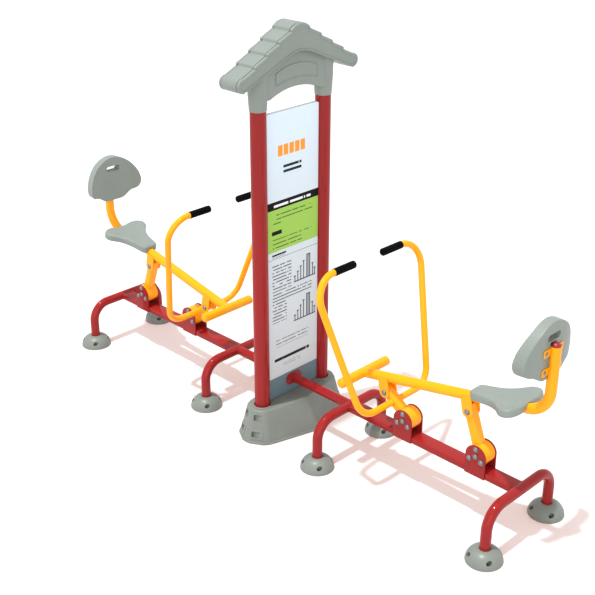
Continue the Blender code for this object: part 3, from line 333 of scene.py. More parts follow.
def on_charts(boxes):
    """The same rectangles, counted from a chart's foot, on both charts."""
    return [(CHART_MIDDLE + left, CHART_MIDDLE + right, foot + low, foot + high)
            for foot in CHART_FEET for left, right, low, high in boxes]


def chart_lines():
    """Outline of the tall bar, base line, and thin bars with a cap on each."""
    boxes = [(0.025, 0.030, 0.0, 0.120), (0.047, 0.052, 0.0, 0.120), (0.025, 0.052, 0.117, 0.123),
             (-0.062, 0.088, -0.003, 0.003)]
    for middle, top in CHART_BARS:
        boxes += [(middle - 0.003, middle + 0.003, 0.003, top),
                  (middle - 0.007, middle + 0.007, top, top + 0.006)]
    return boxes


def printed_sheet():
    """Satin printed sheet: a pale fade under layers of a colour, its rectangles and its rows of print."""
    material, tree, shader = new_finish("printed_sheet")
    x, y, height = own_place(tree)
    bed = (tree, sum_of(tree, "MULTIPLY", y, sum_of(tree, "SIGN", x)), height)
    edge = PANEL_HALF + 0.01
    blocks = [(BLOCK_PITCH * index - 0.096, BLOCK_PITCH * index - 0.067, 1.432, 1.484) for index in range(5)]
    layers = (
        ((0.305, 0.525, 0.095), [(-edge, edge, 0.9671, 1.19)], []),
        ((0.006, 0.006, 0.006), [(-edge, edge, 1.1786, 1.2183)], []),
        ((0.123, 0.175, 0.205), [(-edge, edge, 0.16, 0.2866)], []),
        ((0.13, 0.17, 0.19), [(-edge, edge, 0.9285, 0.9310)], []),
        ((0.84, 0.30, 0.035), blocks, []),
        ((0.02, 0.024, 0.03), [], [(-0.062, 0.056, 1.336, 1.385, 0.0245, 0.54, 0.31)]),
        ((0.74, 0.78, 0.80), [], [(-0.125, 0.118, 1.190, 1.207, 0.0170, 0.70, 0.30)]),
        ((0.07, 0.13, 0.03), [], [(-0.110, 0.130, 1.124, 1.162, 0.0205, 0.26),
                                  (-0.130, -0.080, 1.103, 1.122, 0.0205, 0.26),
                                  (-0.135, 0.130, 1.026, 1.044, 0.0205, 0.26),
                                  (-0.135, 0.060, 0.982, 1.024, 0.0205, 0.26)]),
        ((0.008, 0.008, 0.008), [(-0.140, -0.075, 1.052, 1.072)], []),
        ((0.01, 0.01, 0.01), [], [(-0.140, -0.048, 0.937, 0.954, 0.0175, 0.66, 0.31)]),
        ((0.28, 0.30, 0.32), on_charts([(0.026, 0.050, 0.0, 0.118)]), []),
        ((0.045, 0.05, 0.055), on_charts(chart_lines()), [(-0.140, -0.012, 0.757, 0.905, 0.0168, 0.30),
                                                          (-0.140, 0.128, 0.706, 0.7555, 0.0168, 0.30),
                                                          (-0.140, -0.045, 0.590, 0.704, 0.0168, 0.30)]),
        ((0.12, 0.13, 0.14), [], [(-0.118, 0.106, 0.452, 0.492, 0.0195, 0.27)]),
        ((0.012, 0.013, 0.015), [], [(-0.130, 0.112, 0.374, 0.396, 0.0220, 0.74, 0.31)]),
        ((0.14, 0.14, 0.15), [], [(-0.070, 0.052, 0.338, 0.352, 0.0140, 0.34)]),
    )
    fade = spread(tree, height, 0.29, 1.62)
    printed = tinted(tree, fade, (0.53, 0.56, 0.58, 1.0), (0.63, 0.74, 0.83, 1.0))
    for colour, boxes, words in layers:
        masks = [printed_box(bed, *box) for box in boxes] + [word_bars(bed, *row) for row in words]
        printed = tinted(tree, either(tree, masks), printed, colour + (1.0,))
    face = sum_of(tree, "GREATER_THAN", sum_of(tree, "ABSOLUTE", x), PANEL_THICKNESS * 0.48)
    feed(tree, shader, {"Base Color": tinted(tree, face, (0.62, 0.64, 0.66, 1.0), printed),
                        "Roughness": clouds(tree, 60.0, 4.0, 0.30, 0.44), "Specular IOR Level": 0.06,
                        "Normal": relief(tree, ((500.0, 2.0, 0.05, 0.0003), (3.5, 1.0, 0.10, 0.004)))})
    return material


panel_middle = (PANEL_TOP + PANEL_BOTTOM) / 2
panel_outline = rounded_box(PANEL_HALF, (PANEL_TOP - PANEL_BOTTOM) / 2, PANEL_CORNER)
pipe_hole = ring(PIPE_RADIUS + 0.0004, 40, 0, FRAME_Z - panel_middle)
panel_sheet = plate([panel_outline, pipe_hole], -PANEL_THICKNESS / 2, PANEL_THICKNESS / 2, "X")
shown("sign_sheet", at_place(panel_sheet, 0, 0, panel_middle), printed_sheet(), "sign_panel", edge=PANEL_EDGE)


# The centre pipe is a round tube that runs through the sign and is welded to the inner leg of each station.
# A round-ended plate is welded round it on each face of the sign, and all of it is painted red.
INNER_LEG_X = 0.406
OUTER_LEG_X = 1.390
COLLAR_HALF = 0.052
COLLAR_HEIGHT = 0.030
COLLAR_FACE = PANEL_THICKNESS / 2 + 0.008
BEAD = 0.0024


def bent_path(corners, bends, steps):
    """Straight runs between corners, with an arc of the given radius at each inner corner."""
    corners = [Vector(corner) for corner in corners]
    path = [corners[0]]
    for before, corner, after, bend in zip(corners, corners[1:], corners[2:], bends):
        back = (before - corner).normalized()
        ahead = (after - corner).normalized()
        half = back.angle(ahead) / 2
        centre = corner + (back + ahead).normalized() * (bend / math.sin(half))
        first = corner + back * (bend / math.tan(half)) - centre
        last = corner + ahead * (bend / math.tan(half)) - centre
        hinge = first.cross(last).normalized()
        turn = first.angle(last)
        path += [centre + Quaternion(hinge, turn * index / steps) @ first for index in range(steps + 1)]
    path.append(corners[-1])
    return path


def as_shown(item, *tools):
    """Mesh of an object with its modifiers applied; the object and its tools are taken out again."""
    mesh = bpy.data.meshes.new_from_object(item.evaluated_get(bpy.context.evaluated_depsgraph_get()))
    for used in (item, *tools):
        bpy.data.objects.remove(used)
    return mesh


def tube(path, radius, resolution=14, closed=False):
    """Round tube or weld bead along a path."""
    curve = bpy.data.curves.new("tube", "CURVE")
    curve.dimensions = "3D"
    curve.bevel_depth = radius
    curve.bevel_resolution = resolution
    curve.use_fill_caps = True
    spline = curve.splines.new("POLY")
    spline.points.add(len(path) - 1)
    spline.use_cyclic_u = closed
    for point, place in zip(spline.points, path):
        point.co = (*place, 1.0)
    work = opened(as_shown(linked("tube", curve)))
    bmesh.ops.remove_doubles(work, verts=work.verts, dist=MERGE)
    return shape_from(work)


def weld(path, closed=False):
    """Bead of weld along a path."""
    return tube(path, BEAD, 3, closed)


def tee_weld(x, side):
    """Bead where a tube along X meets a tube of the same size along Y."""
    path = [(x - side * (abs(y) + BEAD * 0.2), y, FRAME_Z + up) for up, y in ring(PIPE_RADIUS, 48)]
    return weld(path, True)


def ring_weld(place, radius, axis):
    """Bead round a tube where it meets a flat face."""
    path = [Vector(place) + Vector(on_axis(axis, 0, first, second)) for first, second in ring(radius, 40)]
    return weld(path, True)


pipe_parts = [tube([(-INNER_LEG_X, 0, FRAME_Z), (INNER_LEG_X, 0, FRAME_Z)], PIPE_RADIUS),
              tee_weld(INNER_LEG_X, 1), tee_weld(-INNER_LEG_X, -1)]
for name, side in (("left", -1), ("right", 1)):
    collar_outline = []
    for end in (1, -1):
        collar_outline += arc(COLLAR_HEIGHT, -math.pi / 2 * end, math.pi * (1 - end / 2), 14,
                              end * (COLLAR_HALF - COLLAR_HEIGHT), FRAME_Z)
    collar = plate([collar_outline], side * (PANEL_THICKNESS / 2 + SEAT_GAP), side * COLLAR_FACE, "X")
    shown("collar_plate_" + name, collar, red_paint, edge=PANEL_EDGE)
    pipe_parts.append(ring_weld((side * COLLAR_FACE, 0, FRAME_Z), PIPE_RADIUS, "X"))
shown("centre_pipe_tube", shape_from(opened(*pipe_parts)), red_paint, "centre_pipe")


# The skirt is a rotationally moulded plastic shell that drops over both post feet and hides their bolts.
# Its ends are flattened, each with two sunk hand holds, and its long sides are drawn out to a point.
SKIRT_END = 0.118
SKIRT_TOP = 0.075
SKIRT_MIDDLE = 0.178
SKIRT_TOP_MIDDLE = 0.108
SKIRT_HEIGHT = 0.168
SKIRT_WALL = 0.016
SKIRT_LIP = 0.003
SKIRT_FACET_LEAN = math.radians(30)
SKIRT_FACET_HALF = math.radians(18)
SKIRT_FLANK = math.radians(28)
SKIRT_CREASE = math.radians(14)
END_TAPER = (SKIRT_END - SKIRT_TOP) / SKIRT_HEIGHT
MIDDLE_TAPER = (SKIRT_MIDDLE - SKIRT_TOP_MIDDLE) / SKIRT_HEIGHT
HOLD_HALF = 0.0225
HOLD_DEPTH = 0.0135
HOLD_SLOPE = 0.0130
GREY = (0.212, 0.245, 0.221, 1.0)
# Dark tone of the painted shade near the ground.
GROUND_SHADE = (0.140, 0.148, 0.130, 1.0)


def moulded_plastic():
    """Matt moulded plastic: faint clouding, fine leather grain, and painted shade in cloudy patches on what
    stands near the ground.
    """
    material, tree, shader = new_finish("moulded_plastic")
    base = tinted(tree, clouds(tree, 7.0, 4.0), scaled(GREY, 0.95), scaled(GREY, 1.06))
    grained = tinted(tree, clouds(tree, 420.0, 2.0, low=0.4, high=0.62), scaled(GREY, 0.93), base)
    # Painted shade: below 0.19 m the plastic is darkened towards a dark tone in cloudy patches, fading out by
    # 0.30 m, as shade near the ground.
    low = spread(tree, own_place(tree)["Z"], 0.19, 0.30, 1.0, 0.0)
    dust_and_shade = sum_of(tree, "MULTIPLY", low, clouds(tree, 9.0, 4.0, 0.38, 0.66))
    feed(tree, shader, {"Base Color": tinted(tree, dust_and_shade, grained, GROUND_SHADE),
                        "Roughness": clouds(tree, 30.0, 3.0, 0.42, 0.56),
                        "Specular IOR Level": 0.30, "Coat Weight": 0.18, "Coat Roughness": 0.28,
                        "Normal": relief(tree, ((380.0, 3.0, 0.16, 0.0006), (14.0, 1.0, 0.08, 0.003)))})
    return material


grey_plastic = moulded_plastic()


def combined(base, other, operation="DIFFERENCE"):
    """Exact cutting or joining of two shapes."""
    holder = linked("base", base)
    tool = linked("tool", other)
    step = holder.modifiers.new("step", "BOOLEAN")
    step.operation = operation
    step.solver = "EXACT"
    step.object = tool
    work = opened(as_shown(holder, tool))
    bmesh.ops.remove_doubles(work, verts=work.verts, dist=MERGE)
    bmesh.ops.dissolve_degenerate(work, dist=MERGE, edges=work.edges)
    return shape_from(work)


def skirt_outline(end_radius, middle):
    """Plan of the skirt at one height."""
    to_middle = Vector((middle, POST_Y))
    tangent = math.atan2(to_middle.y, to_middle.x) - math.acos(end_radius / to_middle.length)
    facet = SKIRT_FACET_LEAN - math.pi / 2
    turns = [facet - SKIRT_FACET_HALF, facet + SKIRT_FACET_HALF, -SKIRT_FLANK, tangent]
    near_side = [(end_radius * math.cos(turn), end_radius * math.sin(turn) - POST_Y) for turn in turns]
    far_side = [(x, -y) for x, y in reversed(near_side)]
    half = near_side + [(middle, 0)] + far_side + [(0, POST_Y + end_radius)]
    return half + [(-x, -y) for x, y in half]


def level_stack(sections):
    """Closed shape through level outlines given as (outline, height)."""
    work = bmesh.new()
    rings = [[work.verts.new((x, y, height)) for x, y in outline] for outline, height in sections]
    for lower, upper in zip(rings, rings[1:]):
        for index in range(len(lower)):
            work.faces.new((lower[index - 1], lower[index], upper[index], upper[index - 1]))
    work.faces.new(rings[0])
    work.faces.new(rings[-1])
    return shape_from(work)


def bevelled(mesh, width, segments, angle):
    """The shape with every edge sharper than an angle rounded."""
    work = opened(mesh)
    picked = [edge for edge in work.edges if edge.is_convex and edge.calc_face_angle(0) > angle]
    bmesh.ops.bevel(work, geom=picked, offset=width, segments=segments, profile=0.5, affect="EDGES",
                    clamp_overlap=True)
    return shape_from(work)


def skirt_level(height, inset=0.0):
    """Outline of the skirt at a height, drawn in by a wall's thickness."""
    return skirt_outline(SKIRT_END - END_TAPER * height - inset, SKIRT_MIDDLE - MIDDLE_TAPER * height - inset)


def on_skirt_facet(mesh, height, side, lean):
    """Shape drawn square to X carried to one of the skirt's end facets."""
    face = (SKIRT_END - END_TAPER * height) * math.cos(SKIRT_FACET_HALF)
    mesh.transform(Matrix.Rotation(-math.atan(END_TAPER), 4, "Y"))
    mesh = at_place(mesh, face, 0, height)
    mesh.transform(Matrix.Rotation(math.pi / 2 * side + lean, 4, "Z"))
    return at_place(mesh, 0, side * POST_Y, 0)


skirt_shell = level_stack([(skirt_level(0.002), 0.0), (skirt_level(SKIRT_HEIGHT), SKIRT_HEIGHT)])
skirt_shell = bevelled(skirt_shell, 0.0065, 4, SKIRT_CREASE)
lip_outline = skirt_outline(SKIRT_END + SKIRT_LIP, SKIRT_MIDDLE + SKIRT_LIP)
lip_band = bevelled(level_stack([(lip_outline, 0.0002), (lip_outline, 0.0105)]), 0.0022, 2, SKIRT_CREASE)
skirt_shell = combined(skirt_shell, lip_band, "UNION")
for side in (-1, 1):
    post_ring = turned(((0, 0.12), (POST_RADIUS + 0.011, 0.12), (POST_RADIUS + 0.011, SKIRT_HEIGHT + 0.001),
                        (POST_RADIUS + 0.0085, SKIRT_HEIGHT + 0.003), (0, SKIRT_HEIGHT + 0.003)), 40)
    skirt_shell = combined(skirt_shell, at_place(post_ring, 0, side * POST_Y, 0), "UNION")
    post_bore = rod(POST_RADIUS + 0.0045, -0.01, 0.2, 64)
    skirt_shell = combined(skirt_shell, at_place(post_bore, 0, side * POST_Y, 0))
hollow_top = SKIRT_HEIGHT - SKIRT_WALL
skirt_hollow = level_stack([(skirt_level(0.0, SKIRT_WALL), -0.004),
                            (skirt_level(hollow_top, SKIRT_WALL), hollow_top)])
skirt_shell = combined(skirt_shell, skirt_hollow)
for side, lean in [(side, lean) for side in (-1, 1) for lean in (-SKIRT_FACET_LEAN, SKIRT_FACET_LEAN)]:
    low_frame = bevelled(plate([rounded_box(0.0310, 0.0270, 0.003, 2)], -0.004, 0.0016, "X"), 0.0007, 2, 1.0)
    skirt_shell = combined(skirt_shell, on_skirt_facet(low_frame, SKIRT_HEIGHT * 0.29, side, lean), "UNION")
    for share, shift in ((0.28, -0.006), (0.78, 0.0)):
        hold = plate([rounded_box(HOLD_HALF, 0.0155, 0.006, 4)], -HOLD_DEPTH, 0.006, "X")
        for corner in hold.vertices:
            if corner.co.x < 0:
                corner.co.x += HOLD_SLOPE * (corner.co.y / HOLD_HALF + 1) / 2
            corner.co.y += shift
        skirt_shell = combined(skirt_shell, on_skirt_facet(hold, SKIRT_HEIGHT * share, side, lean))
shown("skirt_shell", skirt_shell, grey_plastic, "base_skirt")


# The roof is one hollow moulding: stepped courses over a gable, a rounded rake along each edge,
# a bare arched plaque on both gable faces, and two sockets that slide over the post tops.
ROOF_BASE = POST_HEIGHT - 0.1335
ROOF_HALF_DEPTH = 0.065
RIDGE_HEIGHT = 0.3675
RIDGE_HALF = 0.0574
RIDGE_DROP = 0.0195
COURSES = 4
COURSE_RUN = 0.0725
COURSE_DROP = 0.0425
LIP_RUN = 0.0035
LIP_DROP = 0.012
EAVE_Y = 0.3455
EAVE_HEIGHT = 0.1455
EAVE_RADIUS = 0.0332
SOFFIT_KNEE = (0.060, 0.2335)
SOFFIT_HEIGHT = 0.2455
RAKE_RADIUS = 0.009
RIM_RADIUS = 0.0045
GABLE_HALF_DEPTH = 0.036
ARCH_HEIGHT = 0.0445
ARCH_RISE = 0.036
SOCKET_RADIUS = 0.0465
SOCKET_HEIGHT = 0.200
PLAQUE_HALF = 0.130
PLAQUE_BEAD = 0.0024


def bowed(half, height, rise, steps):
    """Points of a shallow arch from -half to +half."""
    radius = (half * half + rise * rise) / (2 * rise)
    reach = math.asin(half / radius)
    turns = [reach * (2 * index / steps - 1) for index in range(steps + 1)]
    return [(radius * math.sin(turn), height + rise + radius * (math.cos(turn) - 1)) for turn in turns]


def course_run(course, sink):
    """Upper and lower end of one course's face, drawn inwards by a depth."""
    y = RIDGE_HALF + course * COURSE_RUN
    z = RIDGE_HEIGHT - RIDGE_DROP - course * COURSE_DROP
    first = Vector((y + LIP_RUN, z - LIP_DROP))
    last = Vector((y + COURSE_RUN, z - COURSE_DROP))
    if course == COURSES - 1:
        last = Vector((EAVE_Y - 0.0015, EAVE_HEIGHT + EAVE_RADIUS))
    along = (last - first).normalized()
    inwards = Vector((along.y, -along.x)) * sink
    return first + inwards, last + inwards


def eave_turn(sink):
    """Points round the eave, from its top to its underside."""
    return arc(EAVE_RADIUS - sink, math.radians(92), math.radians(-100), 15, EAVE_Y, EAVE_HEIGHT)


def roof_outline(sink):
    """Gable outline with stepped courses; sink draws it inwards."""
    ridge = bowed(RIDGE_HALF - sink, RIDGE_HEIGHT - RIDGE_DROP - sink, RIDGE_DROP, 12)
    right = [point for point in ridge if point[0] > 0]
    for course in range(COURSES - 1):
        right += [tuple(end) for end in course_run(course, sink)]
    right.append(tuple(course_run(COURSES - 1, sink)[0]))
    right += eave_turn(sink)
    right.append((SOFFIT_KNEE[0], SOFFIT_KNEE[1] + sink))
    left = [(-y, z) for y, z in reversed(right)]
    return [(0, RIDGE_HEIGHT - sink)] + right + [(0, SOFFIT_HEIGHT + sink)] + left


def round_ended(points, radius, x):
    """Bead with rounded ends along points on a plane square to X."""
    path = [(x, y, z + ROOF_BASE) for y, z in points]
    ball = arc(radius, -math.pi / 2, math.pi / 2, 10)
    return [tube(path, radius, 7)] + [at_place(turned(ball, 20), *end) for end in (path[0], path[-1])]


def on_roof(loops, half):
    """Sheet cut square to X, as deep on both sides of the middle, at the height of the roof."""
    return at_place(plate(loops, -half, half, "X"), 0, 0, ROOF_BASE)


roof_tiles = on_roof([roof_outline(0.0)], ROOF_HALF_DEPTH - 2 * RAKE_RADIUS)
shown("roof_courses", bevelled(roof_tiles, 0.0036, 4, math.radians(24)), grey_plastic, "roof_cap")
shown("roof_faces", on_roof([roof_outline(0.0070)], ROOF_HALF_DEPTH - 0.004), grey_plastic)
for name, side in (("left", -1), ("right", 1)):
    rake_x = side * (ROOF_HALF_DEPTH - RAKE_RADIUS)
    ridge_points = bowed(RIDGE_HALF - 0.006, RIDGE_HEIGHT - RIDGE_DROP - RAKE_RADIUS, RIDGE_DROP, 12)
    beads = round_ended(ridge_points, RAKE_RADIUS, rake_x)
    for slope in (-1, 1):
        for course in range(COURSES):
            points = [tuple(end) for end in course_run(course, RAKE_RADIUS)]
            if course == COURSES - 1:
                points += eave_turn(RAKE_RADIUS)
            beads += round_ended([(slope * y, z) for y, z in points], RAKE_RADIUS, rake_x)
    rim = [eave_turn(RIM_RADIUS)[-2], (SOFFIT_KNEE[0], SOFFIT_KNEE[1] + RIM_RADIUS)]
    rim = [(-y, z) for y, z in rim] + [(0, SOFFIT_HEIGHT + RIM_RADIUS)] + list(reversed(rim))
    beads += round_ended(rim, RIM_RADIUS, side * (ROOF_HALF_DEPTH - RIM_RADIUS))
    shown("roof_beads_" + name, shape_from(opened(*beads)), grey_plastic)

gable_middle = (SOFFIT_HEIGHT + RIDGE_HEIGHT) / 2
gable_right = [(POST_Y, ARCH_HEIGHT), (POST_Y, gable_middle - COURSE_DROP / COURSE_RUN * POST_Y)]
gable_left = [(-y, z) for y, z in reversed(gable_right)]
gable_wall = bowed(POST_Y - SOCKET_RADIUS, ARCH_HEIGHT, ARCH_RISE, 20) + gable_right
gable_wall += [(0, gable_middle)] + gable_left
gable = bevelled(on_roof([gable_wall], GABLE_HALF_DEPTH), 0.009, 4, math.radians(40))
for side in (-1, 1):
    socket = turned(((0, 0.001), (0.0392, 0.001), (0.0405, 0.0024), (SOCKET_RADIUS, SOCKET_HEIGHT / 2),
                     (SOCKET_RADIUS, SOCKET_HEIGHT), (0, SOCKET_HEIGHT)), 56)
    gable = combined(gable, at_place(socket, 0, side * POST_Y, ROOF_BASE), "UNION")
shown("gable_wall", gable, grey_plastic)

plaque_high = bowed(PLAQUE_HALF, 0.156, 0.030, 16)
plaque_outline = bowed(PLAQUE_HALF, 0.103, 0.0205, 16) + list(reversed(plaque_high))
for name, side in (("left", -1), ("right", 1)):
    face = plate([plaque_outline], side * (GABLE_HALF_DEPTH - 0.004), side * (GABLE_HALF_DEPTH + 0.0012), "X")
    border = [(side * (GABLE_HALF_DEPTH + 0.0008), y, z) for y, z in plaque_outline]
    plaque = shape_from(opened(face, tube(border, PLAQUE_BEAD, 4, True)))
    shown("plaque_" + name, at_place(plaque, 0, 0, ROOF_BASE), grey_plastic)


# Each station stands on two bent tubes, one under each end of the beam, and their feet go into domed sockets.
# The left station is the right one turned half round, so each piece from here on is made once for both.
LEG_Y = 0.2323
LEG_FOOT = 0.0085
LEG_BEND = 0.097


def on_both_sides(name, mesh, finish, node_name="", part="frame", edge=0.0):
    """The same piece on both stations, riding on that station's body."""
    for side, turn in (("right_", 0.0), ("left_", math.pi)):
        body = part if part == "frame" else side + part
        shown(side + name, mesh, finish, node_name and side + node_name, body, edge, turn)


for leg, x in (("inner", INNER_LEG_X), ("outer", OUTER_LEG_X)):
    leg_corners = [(x, -LEG_Y, LEG_FOOT), (x, -LEG_Y, FRAME_Z), (x, LEG_Y, FRAME_Z), (x, LEG_Y, LEG_FOOT)]
    leg_path = bent_path(leg_corners, (LEG_BEND, LEG_BEND), 16)
    on_both_sides(leg + "_leg_tube", tube(leg_path, PIPE_RADIUS), red_paint, leg + "_leg")


# The beam is flat box tube welded between the two legs, with two pairs of thick round-topped plates on it.
# The plates are cut from sheet, welded to the beam's sides, and carry the axles and the stop bolts.
BEAM_WIDTH = 0.074
BEAM_HEIGHT = 0.030
BEAM_CORNER = 0.0035
DRAIN_RADIUS = 0.004
FRONT_AXLE = Vector((0.762, 0, 0.328))
REAR_AXLE = Vector((1.175, 0, 0.328))
AXLES = (("front", FRONT_AXLE), ("rear", REAR_AXLE))
BRACKET_RADIUS = 0.0535
PLATE_NEAR = BEAM_WIDTH / 2 - 0.0012
PLATE_FAR = PLATE_NEAR + 0.0065

beam = plate([rounded_box(BEAM_WIDTH / 2, BEAM_HEIGHT / 2, BEAM_CORNER)], INNER_LEG_X, OUTER_LEG_X, "X")
drain = at_place(rod(DRAIN_RADIUS, 0, BEAM_HEIGHT, 20), 0.686, -0.0265, 0)
on_both_sides("beam_tube", at_place(combined(beam, drain), 0, 0, FRAME_Z), red_paint, "beam")

bracket_bottom = FRAME_Z - BEAM_HEIGHT / 2 - 0.001
for end, axle in AXLES:
    bracket_outline = [(axle.x + BRACKET_RADIUS, bracket_bottom)]
    bracket_outline += arc(BRACKET_RADIUS, 0, math.pi, 28, axle.x, axle.z)
    bracket_outline.append((axle.x - BRACKET_RADIUS, bracket_bottom))
    for name, side in (("near", -1), ("far", 1)):
        bracket = plate([bracket_outline], side * PLATE_NEAR, side * PLATE_FAR, "Y")
        on_both_sides("%s_bracket_%s" % (end, name), bracket, red_paint, edge=0.0010)

beam_welds = []
rises = [BEAM_HEIGHT / 2 * (index / 6 - 1) for index in range(13)]
for x, side in ((INNER_LEG_X, 1), (OUTER_LEG_X, -1)):
    joint = [(x + side * math.sqrt(PIPE_RADIUS ** 2 - rise ** 2), FRAME_Z + rise) for rise in rises]
    for y in (-BEAM_WIDTH / 2, BEAM_WIDTH / 2):
        beam_welds.append(weld([(along, y, up) for along, up in joint]))
    for along, up in (joint[0], joint[-1]):
        beam_welds.append(weld([(along, -BEAM_WIDTH / 2, up), (along, BEAM_WIDTH / 2, up)]))
on_both_sides("beam_weld_beads", shape_from(opened(*beam_welds)), red_paint)


# Each foot is a moulded plastic dome that the leg stands in, with four slanted pockets.
# A hexagon bolt in each pocket holds the foot to the ground.
FOOT_RADIUS = 0.0826
FOOT_HEIGHT = 0.062
FOOT_SHARES = ((1.0, 0.0), (1.0, 0.07), (0.985, 0.20), (0.955, 0.35), (0.90, 0.50), (0.82, 0.655),
               (0.71, 0.79), (0.58, 0.90), (0.45, 0.97), (0.36, 1.0), (0.31, 0.985))
FOOT_SOLE = 0.008
FOOT_BORE = PIPE_RADIUS + 0.0006
POCKET_REACH = 0.0715
POCKET_LIFT = 0.035
POCKET_TILT = math.radians(50)
POCKET_SLANT = math.radians(28)
POCKET_TURN = math.radians(52)
POCKET_STRETCH = 1.4
FOOT_BOLT_CIRCLE = 0.0625

dome_profile = [(0, 0)] + [(FOOT_RADIUS * wide, FOOT_HEIGHT * high) for wide, high in FOOT_SHARES]
dome_profile += [(FOOT_BORE, FOOT_HEIGHT * 0.95), (FOOT_BORE, FOOT_SOLE), (0, FOOT_SOLE)]
foot_dome = turned(dome_profile, 56)
foot_bolts = []
for turn in [POCKET_TURN + math.pi / 2 * index for index in range(4)]:
    pocket = turned(((0, -0.018), (0.0088, -0.018), (0.0102, 0.0), (0.0126, 0.012), (0, 0.012)), 28)
    pocket.transform(Matrix.Scale(POCKET_STRETCH, 4, (0, 1, 0)))
    pocket.transform(Matrix.Rotation(turn, 4, "Z") @ Matrix.Translation((POCKET_REACH, 0, POCKET_LIFT)) @
                     Matrix.Rotation(POCKET_TILT, 4, "Y") @ Matrix.Rotation(POCKET_SLANT, 4, "Z"))
    foot_dome = combined(foot_dome, pocket)
    x, y = FOOT_BOLT_CIRCLE * math.cos(turn), FOOT_BOLT_CIRCLE * math.sin(turn)
    foot_bolts += hex_bolt(0.0062, 0.0115, x, y, 0.0145)
foot_bolts = shape_from(opened(*foot_bolts))
for leg, x in (("inner", INNER_LEG_X), ("outer", OUTER_LEG_X)):
    for number, side in ((1, -1), (2, 1)):
        foot = "%s_foot_%d" % (leg, number)
        on_both_sides(foot + "_dome", at_place(foot_dome.copy(), x, side * LEG_Y, 0), grey_plastic, foot)
        on_both_sides(foot + "_bolts", at_place(foot_bolts.copy(), x, side * LEG_Y, 0), steel)


# An axle bolt with a bearing sleeve goes through each pair of plates, and three stop bolts stand round it.
# They are domed steel bolts with domed nuts, each on a washer.
BOLT_RADIUS = 0.006
BOLT_HEAD = (0.0135, 0.009)
PIVOT_HEAD = (0.0142, 0.0095)
SLEEVE_RADIUS = 0.0145
STOP_CIRCLE = 0.0366
STOP_ANGLES = (math.radians(90), math.radians(210), math.radians(330))


def dome(radius, height, steps, base=0.0):
    """Profile of a dome from its rim to its top."""
    return [(along, base + up / radius * height) for along, up in arc(radius, 0.0, math.pi / 2, steps)]


def both_ends(profile):
    """Half a profile with its mirror image before it."""
    return [(radius, -place) for radius, place in reversed(profile)] + profile


def domed_bolt(head, half_grip, middle=()):
    """Through bolt along Y with a washer and a domed head at each end."""
    radius, height = head
    washer = height * 0.16
    upper = [*middle, (BOLT_RADIUS, half_grip), (radius, half_grip), (radius, half_grip + washer)]
    return turned(both_ends(upper + dome(radius * 0.86, height - washer, 7, half_grip + washer)), 36, "Y")


sleeve = [(SLEEVE_RADIUS, PLATE_NEAR - 0.0004), (BOLT_RADIUS, PLATE_NEAR - 0.0004)]
for end, axle in AXLES:
    axle_bolt = at_place(domed_bolt(BOLT_HEAD, PLATE_FAR + SEAT_GAP, sleeve), *axle)
    on_both_sides(end + "_axle_bolt", axle_bolt, steel, end + "_axle")
    for number, turn in enumerate(STOP_ANGLES, 1):
        stop = at_place(domed_bolt(BOLT_HEAD, PLATE_FAR + SEAT_GAP), axle.x + STOP_CIRCLE * math.cos(turn), 0,
                        axle.z + STOP_CIRCLE * math.sin(turn))
        on_both_sides("%s_stop_bolt_%d" % (end, number), stop, steel, "%s_stop_%d" % (end, number))


# Each lever is a length of box tube welded on a steel drum that turns on the bearing sleeve.
# The stop bolts run in three arc slots of the drum and so limit the swing; both levers are painted yellow.
FRONT_PIN = Vector((0.6364, 0, 0.4216))
REAR_PIN = Vector((1.1055, 0, 0.5180))
DRUM_RADIUS = 0.0505
DRUM_HALF = PLATE_NEAR - 0.0008
LEVER_START = 0.047
LEVER_END = 0.030
LEVER_EDGE = 0.0008
CROSSBAR = FRONT_PIN + (FRONT_AXLE - FRONT_PIN).normalized() * 0.0564
YELLOW = (0.97, 0.355, 0.004, 1.0)
yellow_paint = powder_coat("yellow_paint", YELLOW)


def drum_slot(start, swing):
    """Arc slot with round ends, from a stop bolt at rest to the same bolt at full swing."""
    half = BOLT_RADIUS + 0.0006
    end = start + swing
    points = arc(STOP_CIRCLE + half, start, end, 8)
    points += arc(half, end, end + math.pi, 8, STOP_CIRCLE * math.cos(end), STOP_CIRCLE * math.sin(end))[1:-1]
    points += arc(STOP_CIRCLE - half, end, start, 8)
    points += arc(half, start + math.pi, start + math.tau, 8, STOP_CIRCLE * math.cos(start),
                  STOP_CIRCLE * math.sin(start))[1:-1]
    return points


for (end, axle), pin, swing in zip(AXLES, (FRONT_PIN, REAR_PIN), (math.radians(30), math.radians(20))):
    loops = [ring(DRUM_RADIUS, 72), ring(SLEEVE_RADIUS + 0.0004, 40)]
    loops += [drum_slot(start, swing) for start in STOP_ANGLES]
    drum = at_place(plate(loops, -DRUM_HALF, DRUM_HALF, "Y"), *axle)
    run = pin - axle
    box_tube = plate([rounded_box(0.020, 0.024, 0.005, 5)], LEVER_START, run.length + LEVER_END, "Z")
    box_tube.transform(Matrix.Rotation(math.atan2(run.x, run.z), 4, "Y"))
    on_both_sides(end + "_drum", drum, yellow_paint, part=end + "_rocker", edge=LEVER_EDGE)
    box_tube = at_place(box_tube, *axle)
    on_both_sides(end + "_lever_tube", box_tube, yellow_paint, end + "_lever", end + "_rocker", LEVER_EDGE)


# The handlebar is one bent tube whose crossbar is welded through the front lever.
# Its sides splay outwards and up, and its ends turn in to carry the hands.
HANDLE_RADIUS = 0.016
HANDLE_TOP = Vector((0.4896, 0.3632, 1.046))
HANDLE_LOW_Y = 0.232
HANDLE_BENDS = (0.112, 0.105, 0.105, 0.112)
GRIP_START = 0.226
GRIP_TIP = GRIP_START - 0.133

